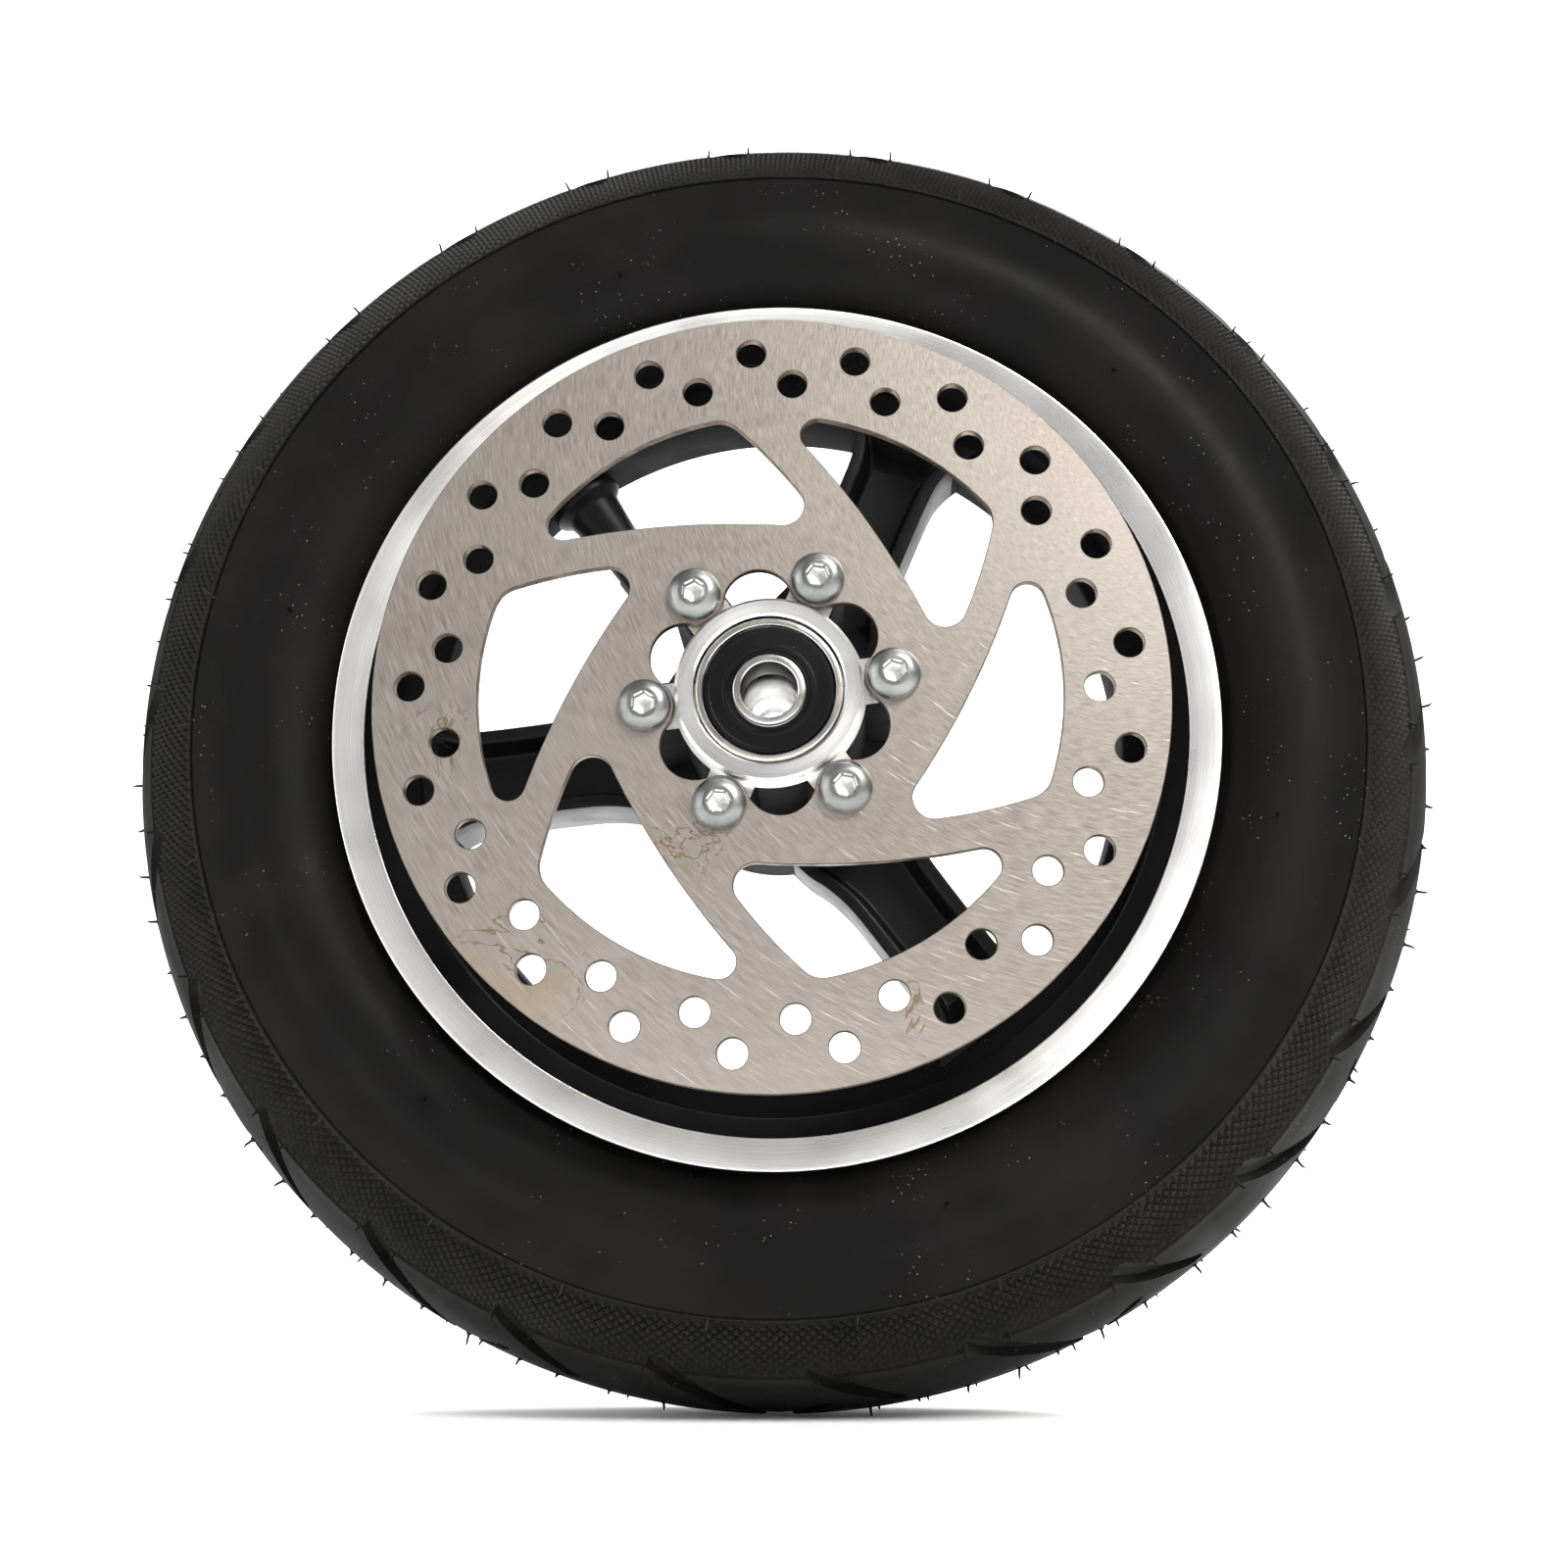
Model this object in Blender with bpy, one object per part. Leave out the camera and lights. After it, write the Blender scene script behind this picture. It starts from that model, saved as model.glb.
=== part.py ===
"""Undriven kick-scooter wheel: air tyre, cast three-spoke rim, brake disc, two ball bearings and a valve.

Frame: origin at the wheel's centre, in the tyre's middle plane. +Y is the axle, and the brake disc faces -Y.
Angles are counted from +X towards +Z. Lengths are in millimetres and become metres through MM.
"""
import math

import bmesh
import bpy
from mathutils import Matrix, Vector

MM = 0.001
GAP = 0.3               # clearance left between two touching pieces
OVERCUT = 5.0           # how far a cutter runs past the face it opens

# Pattern of the six screws; every other screw sits in front of a spoke
FIRST_SCREW_DEG = 7.0
SCREWS = 6
SPOKE_DEGS = [67.0, 187.0, 307.0]
VALVE_DEG = 127.0

# Tyre section: 54-152 tubeless, 28 mm to each side of the middle plane at the shoulder ridge
TYRE_R = 124.4
RIDGE_R = 107.4
RIDGE_Y = 28.2
BEAD_R = 76.5

# Rim
FLANGE_R = 82.1
FLANGE_INNER_R = 76.3
FLANGE_Y = 24.0
SEAT_R = 76.2
WELL_R = 70.0
WELL_INNER_R = 66.0

# Spokes and hub
SPOKE_FRONT_Y = -9.6
SPOKE_BACK_Y = 7.4
SPOKE_POCKET_DEPTH = 6.6
SPOKE_POCKET_HALF = 6.1
SPOKE_POCKET_START = 29.0
SPOKE_POCKET_LAST_CENTRE = 56.5
HUB_FRONT_Y = -45.5
HUB_BACK_Y = 30.6
HUB_R = 17.0
SPIGOT_R = 16.5
WEB_R = 24.0
HUB_BORE_R = 11.0

# Brake disc
DISC_R = 70.0
DISC_FRONT_Y = -44.0
DISC_THICK = 1.9
HOLES_PER_ROW = 21
HOLE_R = 2.65
OUTER_ROW_R = 63.4
OUTER_ROW_DEG = 93.05
INNER_ROW_R = 57.5
INNER_ROW_DEG = 85.95
SCALLOP_CENTRE_R = 16.1
SCALLOP_R = 6.2

# A window's three sides are arcs about these centres, and its corners are rounded
WINDOW_OUTER_R = 51.3
WINDOW_LEAD_CENTRE = Vector((-107.2, -52.5))
WINDOW_LEAD_R = 150.0
WINDOW_TRAIL_CENTRE = Vector((-48.4, 48.9))
WINDOW_TRAIL_R = 90.0
WINDOW_CORNERS = {"top": 3.0, "side": 4.9, "tip": 3.8}

# Screws: M5 button head with a 3 mm hexagon socket
SCREW_PCR = 22.0
SCREW_HEAD_R = 4.7
SCREW_HEAD_TOP_Y = -46.8
SCREW_TIP_Y = -32.0
SCREW_SHANK_R = 2.45
SCREW_HOLE_R = 2.8
BOSS_HALF = 4.5
BOSS_START = 12.5
BOSS_BACK_Y = -8.0
SOCKET_HALF_FLATS = 1.5
SOCKET_DEPTH = 1.5

# Bearings: 10 x 26 x 8, seven balls
BEARING_HALF = 4.0
FRONT_BEARING_Y = -40.95
REAR_BEARING_Y = 26.0
BEARING_OUTER_R = 13.0
BEARING_BORE_R = 5.0
RACE_FACE_R = 6.35
SEAL_SEAT_R = 11.7
BALL_R = 2.38
BALL_PITCH_R = 9.0
BALLS = 7
CAGE_HALF_THICK = 0.8
FIRST_BALL_DEG = 90.0
BALL_CLEARANCE = 0.22
SEAL_INNER_Y = 3.1      # a seal's two faces, from the bearing's middle
SEAL_OUTER_Y = 3.65
SPACER_R = 6.6

# Valve, with lengths measured outwards along its own axis from the wheel's centre
VALVE_HOLE_R = 5.8
VALVE_COLLAR_R = 7.4
VALVE_FOOT_R = 8.2
VALVE_STEM_TOP = 73.0
VALVE_STEM_END = 47.2
VALVE_TUBE_R = 3.0
VALVE_TUBE_END = 38.0
VALVE_CAP_END = 35.5

FACETS = 40             # tyre and rim
RACE_FACETS = 24        # bearing pieces
VALVE_FACETS = 16
SMALL_FACETS = 12       # screws and their holes


def material(name, colour, roughness, metallic):
    """A Principled material of one plain colour."""
    made = bpy.data.materials.new(name)
    made.use_nodes = True
    shader = made.node_tree.nodes["Principled BSDF"]
    shader.inputs["Base Color"].default_value = (*colour, 1.0)
    shader.inputs["Roughness"].default_value = roughness
    shader.inputs["Metallic"].default_value = metallic
    made.diffuse_color = (*colour, 1.0)
    return made


def polar(radius, degrees):
    """A point in the XZ plane, as a 2-D vector."""
    return Vector((radius * math.cos(math.radians(degrees)), radius * math.sin(math.radians(degrees))))


def arc(centre, radius, start_deg, end_deg, steps, skip_last=False):
    """Points along an arc from start_deg to end_deg."""
    count = steps if skip_last else steps + 1
    span = end_deg - start_deg
    return [Vector(centre) + polar(radius, start_deg + span * i / steps) for i in range(count)]


def bearing_deg(centre, point):
    """Direction from centre to point, in degrees."""
    offset = Vector(point) - Vector(centre)
    return math.degrees(math.atan2(offset.y, offset.x))


def arc_between(centre, radius, start, end, steps):
    """The shorter arc about centre from the direction of start to the direction of end."""
    first = bearing_deg(centre, start)
    turn = (bearing_deg(centre, end) - first + 180.0) % 360.0 - 180.0
    return arc(centre, radius, first, first + turn, steps)


def circles_meet(centre_a, radius_a, centre_b, radius_b, near):
    """The crossing of two circles that lies nearest to a given point."""
    a = Vector(centre_a)
    b = Vector(centre_b)
    apart = (b - a).length
    along = (radius_a ** 2 - radius_b ** 2 + apart ** 2) / (2 * apart)
    across = math.sqrt(max(radius_a ** 2 - along ** 2, 0.0))
    unit = (b - a) / apart
    side = Vector((-unit.y, unit.x))
    crossings = [a + unit * along + side * across * sign for sign in (1, -1)]
    return min(crossings, key=lambda point: (point - Vector(near)).length)


def finish_mesh(name, bm, look, smooth_deg=35.0):
    """Turn a bmesh into an object with outward faces."""
    bmesh.ops.remove_doubles(bm, verts=bm.verts, dist=1e-6)
    bmesh.ops.recalc_face_normals(bm, faces=bm.faces)
    mesh = bpy.data.meshes.new(name)
    bm.to_mesh(mesh)
    bm.free()
    mesh.shade_smooth()
    mesh.set_sharp_from_angle(angle=math.radians(smooth_deg))
    if look is not None:
        mesh.materials.append(look)
    made = bpy.data.objects.new(name, mesh)
    bpy.context.collection.objects.link(made)
    return made


def turned(name, profile, look, facets=FACETS, offset_y=0.0, closed=True):
    """Spin a profile of (radius, y) points about the Y axis."""
    bm = bmesh.new()
    ring = [bm.verts.new((radius * MM, (y + offset_y) * MM, 0.0)) for radius, y in profile]
    pairs = list(zip(ring, ring[1:]))
    if closed:
        pairs.append((ring[-1], ring[0]))
    edges = [bm.edges.new(pair) for pair in pairs]
    bmesh.ops.spin(bm, geom=ring + edges, axis=(0, 1, 0), cent=(0, 0, 0), steps=facets,
                   angle=math.tau, use_merge=True)
    return finish_mesh(name, bm, look)


def prism(name, outlines, y_start, y_end, look=None):
    """Extrude flat outlines in the XZ plane, where the first may hold holes, from y_start to y_end."""
    bm = bmesh.new()
    edges = []
    for outline in outlines:
        verts = [bm.verts.new((point.x * MM, y_start * MM, point.y * MM)) for point in outline]
        edges += [bm.edges.new(pair) for pair in zip(verts, verts[1:] + verts[:1])]
    filled = bmesh.ops.triangle_fill(bm, edges=edges, use_beauty=True)
    faces = [item for item in filled["geom"] if isinstance(item, bmesh.types.BMFace)]
    grown = bmesh.ops.extrude_face_region(bm, geom=faces)
    moved = [item for item in grown["geom"] if isinstance(item, bmesh.types.BMVert)]
    bmesh.ops.translate(bm, verts=moved, vec=(0, (y_end - y_start) * MM, 0))
    return finish_mesh(name, bm, look)


def on_radius(made, degrees):
    """Aim an object's own Y axis outwards along a spoke direction."""
    made.matrix_world = Matrix.Rotation(math.radians(90.0 - degrees), 4, 'Y') @ Matrix.Rotation(
        math.radians(90.0), 4, 'X')
    return made


def hide(made):
    """Keep a cutter or a guide out of the model."""
    made.hide_render = True
    made.display_type = 'WIRE'
    return made


def boolean(target, other, operation):
    """Add a Boolean modifier and hide the object it reads."""
    modifier = target.modifiers.new(operation.title(), 'BOOLEAN')
    modifier.object = hide(other)
    modifier.operation = operation
    modifier.solver = 'EXACT'


def mirrored(half):
    """Close a half profile, given at negative y from inside to outside, with its mirror image."""
    return half + [(radius, -y) for radius, y in reversed(half) if y != 0.0]


def make_tyre(look):
    """A hollow C section: outer side from bead to crown and back, then the inside."""
    outer = mirrored([
        (BEAD_R, -11.8), (BEAD_R, -19.9), (80.2, -20.2), (82.9, -21.9), (86.5, -24.8), (96.0, -27.9),
        (RIDGE_R, -RIDGE_Y), (112.6, -24.6), (117.3, -19.6), (121.6, -11.6), (TYRE_R, 0.0)])
    inner = mirrored([
        (79.5, -13.2), (86.0, -19.4), (96.0, -23.8), (105.5, -23.6), (112.8, -17.0), (118.6, 0.0)])
    return turned("tyre", outer + inner[::-1], look)


def spoke_outline():
    """Half-widths along a spoke that lies along +X: broad at the hub and at the barrel."""
    stations = [(14.0, 12.2), (25.0, 11.6), (29.0, 10.0), (34.0, 9.0), (41.0, 8.7), (56.0, 8.7),
                (61.0, 9.4), (65.0, 11.2), (68.2, 13.6)]
    lower = [Vector((along, -half)) for along, half in stations]
    return lower + [Vector((along, half)) for along, half in reversed(stations)]


def pocket_outline():
    """A spoke's pocket along +X, with rounded ends."""
    first_centre = SPOKE_POCKET_START + SPOKE_POCKET_HALF
    inner = arc((first_centre, 0.0), SPOKE_POCKET_HALF, 270.0, 90.0, 6)
    outer = arc((SPOKE_POCKET_LAST_CENTRE, 0.0), SPOKE_POCKET_HALF, 90.0, -90.0, 6)
    return inner + outer


def boss_outline():
    """A screw boss along +X: straight sides, round outside."""
    straight = [Vector((BOSS_START, BOSS_HALF)), Vector((BOSS_START, -BOSS_HALF))]
    return arc((SCREW_PCR, 0.0), BOSS_HALF, -90.0, 90.0, 6) + straight


def turn(outline, degrees):
    """Rotate an outline about the wheel's axle."""
    turned_by = Matrix.Rotation(math.radians(degrees), 2)
    return [turned_by @ point for point in outline]


def screw_degs():
    """The six screw directions."""
    return [FIRST_SCREW_DEG + 360.0 / SCREWS * i for i in range(SCREWS)]


def make_rim(look):
    """One casting: barrel, hub, three channel spokes and six screw bosses."""
    outer = mirrored([(FLANGE_INNER_R, -FLANGE_Y + 0.7), (FLANGE_R, -FLANGE_Y), (FLANGE_R + 0.1, -22.4),
                      (80.0, -20.6), (SEAT_R, -20.3), (SEAT_R, -11.6), (WELL_R, -8.9)])
    inner = mirrored([(72.5, -19.5), (72.5, -10.9), (WELL_INNER_R, -7.9)])
    rim = turned("rim", outer + inner[::-1], look)

    hub = turned("hub_body", [(0.0, HUB_FRONT_Y), (SPIGOT_R, HUB_FRONT_Y), (SPIGOT_R, -41.9),
                              (HUB_R, -41.9), (HUB_R, -17.0), (WEB_R, -8.4), (WEB_R, 6.4), (HUB_R, 13.0),
                              (HUB_R, HUB_BACK_Y), (0.0, HUB_BACK_Y)], None, closed=False)
    boolean(rim, hub, 'UNION')
    for degrees in SPOKE_DEGS:
        spoke = prism("spoke_body", [turn(spoke_outline(), degrees)], SPOKE_FRONT_Y, SPOKE_BACK_Y)
        boolean(rim, spoke, 'UNION')
    boss_face = DISC_FRONT_Y + DISC_THICK + GAP
    for degrees in screw_degs():
        boss = prism("boss_body", [turn(boss_outline(), degrees)], boss_face, BOSS_BACK_Y)
        boolean(rim, boss, 'UNION')

    for degrees in SPOKE_DEGS:
        pocket = turn(pocket_outline(), degrees)
        floor = SPOKE_FRONT_Y + SPOKE_POCKET_DEPTH
        boolean(rim, prism("front_pocket", [pocket], SPOKE_FRONT_Y - OVERCUT, floor), 'DIFFERENCE')
        roof = SPOKE_BACK_Y - SPOKE_POCKET_DEPTH
        boolean(rim, prism("rear_pocket", [pocket], roof, SPOKE_BACK_Y + OVERCUT), 'DIFFERENCE')
    for degrees in screw_degs():
        drill = prism("screw_drill", [arc(polar(SCREW_PCR, degrees), SCREW_HOLE_R, 0.0, 360.0,
                                          SMALL_FACETS, skip_last=True)],
                      HUB_FRONT_Y - OVERCUT, SCREW_TIP_Y + 2 * GAP)
        boolean(rim, drill, 'DIFFERENCE')
    low, high = WELL_INNER_R - OVERCUT, WELL_R + OVERCUT
    drill = turned("valve_drill", [(0.0, low), (VALVE_HOLE_R, low), (VALVE_HOLE_R, high), (0.0, high)],
                   None, facets=VALVE_FACETS, closed=False)
    boolean(rim, on_radius(drill, VALVE_DEG), 'DIFFERENCE')

    pocket_r = BEARING_OUTER_R + GAP
    front_stop = FRONT_BEARING_Y + BEARING_HALF + GAP
    rear_stop = REAR_BEARING_Y - BEARING_HALF - GAP
    low, high = HUB_FRONT_Y - OVERCUT, HUB_BACK_Y + OVERCUT
    bore = turned("hub_bore", [(0.0, low), (pocket_r, low), (pocket_r, front_stop),
                               (HUB_BORE_R, front_stop), (HUB_BORE_R, rear_stop), (pocket_r, rear_stop),
                               (pocket_r, high), (0.0, high)], None, facets=RACE_FACETS, closed=False)
    boolean(rim, bore, 'DIFFERENCE')
    return rim


def window_outline():
    """One swept window: three arcs with rounded corners."""
    middle = (0.0, 0.0)
    top_r = WINDOW_CORNERS["top"]
    side_r = WINDOW_CORNERS["side"]
    tip_r = WINDOW_CORNERS["tip"]
    top = circles_meet(middle, WINDOW_OUTER_R - top_r, WINDOW_LEAD_CENTRE, WINDOW_LEAD_R + top_r,
                       (9.0, 47.0))
    side = circles_meet(middle, WINDOW_OUTER_R - side_r, WINDOW_TRAIL_CENTRE, WINDOW_TRAIL_R - side_r,
                        (34.0, 31.0))
    tip = circles_meet(WINDOW_LEAD_CENTRE, WINDOW_LEAD_R + tip_r, WINDOW_TRAIL_CENTRE,
                       WINDOW_TRAIL_R - tip_r, (31.0, 15.0))

    def touch(centre, radius, corner):
        return Vector(centre) + (corner - Vector(centre)).normalized() * radius

    outer_top = touch(middle, WINDOW_OUTER_R, top)
    outer_side = touch(middle, WINDOW_OUTER_R, side)
    trail_side = touch(WINDOW_TRAIL_CENTRE, WINDOW_TRAIL_R, side)
    trail_tip = touch(WINDOW_TRAIL_CENTRE, WINDOW_TRAIL_R, tip)
    lead_tip = touch(WINDOW_LEAD_CENTRE, WINDOW_LEAD_R, tip)
    lead_top = touch(WINDOW_LEAD_CENTRE, WINDOW_LEAD_R, top)
    outline = arc_between(middle, WINDOW_OUTER_R, outer_top, outer_side, 5)
    outline += arc_between(side, side_r, outer_side, trail_side, 3)[1:]
    outline += arc_between(WINDOW_TRAIL_CENTRE, WINDOW_TRAIL_R, trail_side, trail_tip, 1)[1:]
    outline += arc_between(tip, tip_r, trail_tip, lead_tip, 4)[1:]
    outline += arc_between(WINDOW_LEAD_CENTRE, WINDOW_LEAD_R, lead_tip, lead_top, 2)[1:]
    outline += arc_between(top, top_r, lead_top, outer_top, 4)[1:-1]
    return outline


def disc_opening():
    """The disc's inside edge: a lobe round each screw and a scallop between two screws."""
    screw = polar(SCREW_PCR, 0.0)
    scallop = polar(SCALLOP_CENTRE_R, 180.0 / SCREWS)
    lobe_r = (scallop - screw).length - SCALLOP_R
    lobe_turn = 180.0 - bearing_deg(screw, scallop)
    scallop_turn = abs(bearing_deg(scallop, screw) - 180.0 / SCREWS)
    outline = []
    for degrees in screw_degs():
        outline += turn(arc(screw, lobe_r, 180.0 + lobe_turn, 180.0 - lobe_turn, 4, skip_last=True), degrees)
        outline += turn(arc(polar(SCALLOP_CENTRE_R, 0.0), SCALLOP_R, -scallop_turn, scallop_turn, 7,
                            skip_last=True), degrees + 180.0 / SCREWS)
    return outline


def make_disc(look):
    """The drilled brake disc."""
    outlines = [arc((0.0, 0.0), DISC_R, 0.0, 360.0, 60, skip_last=True), disc_opening()]
    for radius, first_deg in ((OUTER_ROW_R, OUTER_ROW_DEG), (INNER_ROW_R, INNER_ROW_DEG)):
        for i in range(HOLES_PER_ROW):
            centre = polar(radius, first_deg + 360.0 / HOLES_PER_ROW * i)
            outlines.append(arc(centre, HOLE_R, 0.0, 360.0, 8, skip_last=True))
    for degrees in screw_degs():
        outlines.append(arc(polar(SCREW_PCR, degrees), SCREW_HOLE_R, 0.0, 360.0, SMALL_FACETS,
                            skip_last=True))
    for i in range(SCREWS):
        outlines.append(turn(window_outline(), 60.0 * i))
    return prism("brake_rotor", outlines, DISC_FRONT_Y, DISC_FRONT_Y + DISC_THICK, look)


def make_screws(look):
    """Six button-head screws that share one mesh."""
    head_back = DISC_FRONT_Y - GAP
    depth = SCREW_HEAD_TOP_Y + SOCKET_DEPTH
    rings = [(SCREW_SHANK_R - 0.5, SCREW_TIP_Y, False), (SCREW_SHANK_R, SCREW_TIP_Y - 0.6, False),
             (SCREW_SHANK_R, head_back, False), (SCREW_HEAD_R, head_back, False),
             (SCREW_HEAD_R, head_back - 0.5, False), (4.1, -45.9, False), (2.75, SCREW_HEAD_TOP_Y, False),
             (SOCKET_HALF_FLATS, SCREW_HEAD_TOP_Y, True), (SOCKET_HALF_FLATS, depth, True)]
    bm = bmesh.new()
    loops = []
    for radius, y, hexagonal in rings:
        loop = []
        for i in range(SMALL_FACETS):
            reach = radius / math.cos(math.radians(30.0)) if hexagonal and i % 2 == 0 else radius
            point = polar(reach, 30.0 * i)
            loop.append(bm.verts.new((point.x * MM, y * MM, point.y * MM)))
        loops.append(loop)
    for lower, upper in zip(loops, loops[1:]):
        for i in range(SMALL_FACETS):
            j = (i + 1) % SMALL_FACETS
            bm.faces.new((lower[i], lower[j], upper[j], upper[i]))
    bm.faces.new(loops[0][::-1])
    bm.faces.new(loops[-1])
    first = finish_mesh("rotor_bolt_1", bm, look)
    for number, degrees in enumerate(screw_degs(), start=1):
        screw = first if number == 1 else bpy.data.objects.new(f"rotor_bolt_{number}", first.data)
        if number > 1:
            bpy.context.collection.objects.link(screw)
        spot = polar(SCREW_PCR, degrees)
        screw.location = (spot.x * MM, 0.0, spot.y * MM)


def make_bearing(side, middle_y, looks):
    """A sealed deep-groove ball bearing. Its seals clip into the outer ring."""
    face = BEARING_HALF
    outer_half = [(SEAL_SEAT_R, -face), (12.7, -face), (BEARING_OUTER_R, -face + 0.3)]
    groove_outer = mirrored([(SEAL_SEAT_R, -2.9), (11.0, -2.6), (11.0, -2.1), (SEAL_SEAT_R, -0.9)])
    turned(f"{side}_bearing_outer_ring", mirrored(outer_half) + groove_outer[::-1], looks["race"],
           facets=RACE_FACETS, offset_y=middle_y)
    race = mirrored([(BEARING_BORE_R, -face), (RACE_FACE_R, -face), (RACE_FACE_R, -2.9), (7.3, -2.6),
                     (7.3, -2.0), (RACE_FACE_R, -0.8)])
    turned(f"{side}_bearing_inner_ring", race, looks["race"], facets=RACE_FACETS, offset_y=middle_y)

    seal_inner_r = RACE_FACE_R + GAP
    seal_outer_r = SEAL_SEAT_R - GAP
    outward = -1.0 if side == "front" else 1.0
    for label, sign in (("outer_seal", outward), ("inner_seal", -outward)):
        near = SEAL_INNER_Y * sign
        far = SEAL_OUTER_Y * sign
        turned(f"{side}_bearing_{label}", [(seal_inner_r, near), (seal_outer_r, near),
                                           (seal_outer_r, far), (seal_inner_r, far)],
               looks["seal"], facets=RACE_FACETS, offset_y=middle_y)

    low = BALL_PITCH_R - CAGE_HALF_THICK
    high = BALL_PITCH_R + CAGE_HALF_THICK
    cage = turned(f"{side}_bearing_cage", [(low, -1.1), (high, -1.1), (high, 2.95), (low, 2.95)],
                  looks["cage"], facets=RACE_FACETS, offset_y=middle_y)
    for number in range(1, BALLS + 1):
        spot = polar(BALL_PITCH_R, FIRST_BALL_DEG + 360.0 / BALLS * number)
        place = Matrix.Translation((spot.x * MM, middle_y * MM, spot.y * MM))
        for name, radius, look in ((f"{side}_bearing_ball_{number}", BALL_R, looks["race"]),
                                   ("ball_pocket", BALL_R + BALL_CLEARANCE, None)):
            bm = bmesh.new()
            bmesh.ops.create_uvsphere(bm, u_segments=10, v_segments=6, radius=radius * MM)
            ball = finish_mesh(name, bm, look, smooth_deg=180.0)
            ball.matrix_world = place
            if look is None:
                boolean(cage, ball, 'DIFFERENCE')


def make_spacer(look):
    """The tube that keeps the two inner rings apart."""
    front = FRONT_BEARING_Y + BEARING_HALF + GAP
    rear = REAR_BEARING_Y - BEARING_HALF - GAP
    bore_r = BEARING_BORE_R + 0.1
    turned("spacer_tube", [(bore_r, front), (SPACER_R, front), (SPACER_R, rear), (bore_r, rear)],
           look, facets=RACE_FACETS)


def make_valve(looks):
    """Snap-in rubber valve with its brass tube, core, sprung pin and cap, all along one radius."""
    inside = WELL_R + GAP
    outside = math.sqrt(WELL_INNER_R ** 2 - VALVE_COLLAR_R ** 2) - 2 * GAP
    neck_r = VALVE_HOLE_R - GAP
    bore_r = VALVE_TUBE_R + GAP
    profiles = {
        "valve_stem": ([(bore_r, VALVE_STEM_TOP), (6.4, VALVE_STEM_TOP), (VALVE_FOOT_R, inside + 1.2),
                        (VALVE_FOOT_R, inside), (neck_r, inside), (neck_r, outside),
                        (VALVE_COLLAR_R, outside), (VALVE_COLLAR_R, outside - 1.4), (5.6, 62.0),
                        (4.6, 54.0), (4.5, VALVE_STEM_END), (bore_r, VALVE_STEM_END)],
                       True, looks["rubber"]),
        "valve_tube": ([(1.9, 70.0), (VALVE_TUBE_R, 70.0), (VALVE_TUBE_R, 46.9), (3.85, 46.9),
                        (3.85, VALVE_TUBE_END), (1.9, VALVE_TUBE_END)], True, looks["brass"]),
        "valve_core": ([(0.8, 52.0), (1.6, 52.0), (1.6, 39.2), (0.8, 39.2)], True, looks["brass"]),
        "valve_core_pin": ([(0.0, 53.0), (0.5, 53.0), (0.5, 38.4), (0.0, 38.4)], False, looks["brass"]),
        "valve_cap": ([(0.0, VALVE_CAP_END), (4.4, VALVE_CAP_END), (4.9, 36.2), (4.9, 46.6), (4.15, 46.6),
                       (4.15, 37.6), (0.0, 37.6)], False, looks["cap"]),
    }
    for name, (profile, closed, look) in profiles.items():
        on_radius(turned(name, profile, look, facets=VALVE_FACETS, closed=closed), VALVE_DEG)


def build():
    """Clear the scene and make every piece."""
    for old in list(bpy.data.objects):
        bpy.data.objects.remove(old, do_unlink=True)
    looks = {
        "tyre": material("tyre", (0.030, 0.030, 0.031), 0.75, 0.0),
        "paint": material("black_casting", (0.018, 0.018, 0.020), 0.42, 0.0),
        "steel": material("brushed_steel", (0.56, 0.52, 0.48), 0.34, 1.0),
        "zinc": material("zinc_plate", (0.60, 0.61, 0.59), 0.30, 1.0),
        "race": material("bearing_steel", (0.62, 0.61, 0.60), 0.22, 1.0),
        "seal": material("seal_rubber", (0.020, 0.020, 0.021), 0.60, 0.0),
        "cage": material("cage_steel", (0.50, 0.47, 0.42), 0.35, 1.0),
        "spacer": material("aluminium", (0.78, 0.78, 0.78), 0.30, 1.0),
        "rubber": material("valve_rubber", (0.022, 0.022, 0.023), 0.55, 0.0),
        "brass": material("brass", (0.70, 0.55, 0.27), 0.30, 1.0),
        "cap": material("black_plastic", (0.020, 0.020, 0.021), 0.45, 0.0),
    }
    make_tyre(looks["tyre"])
    make_rim(looks["paint"])
    make_disc(looks["steel"])
    make_screws(looks["zinc"])
    make_bearing("front", FRONT_BEARING_Y, looks)
    make_bearing("rear", REAR_BEARING_Y, looks)
    make_spacer(looks["spacer"])
    make_valve(looks)


build()
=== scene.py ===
import math
import random
from math import cos, exp, hypot, pi, radians, sin, sqrt, tan, tau

import bmesh
import bpy
from mathutils import Matrix, Vector


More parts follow.
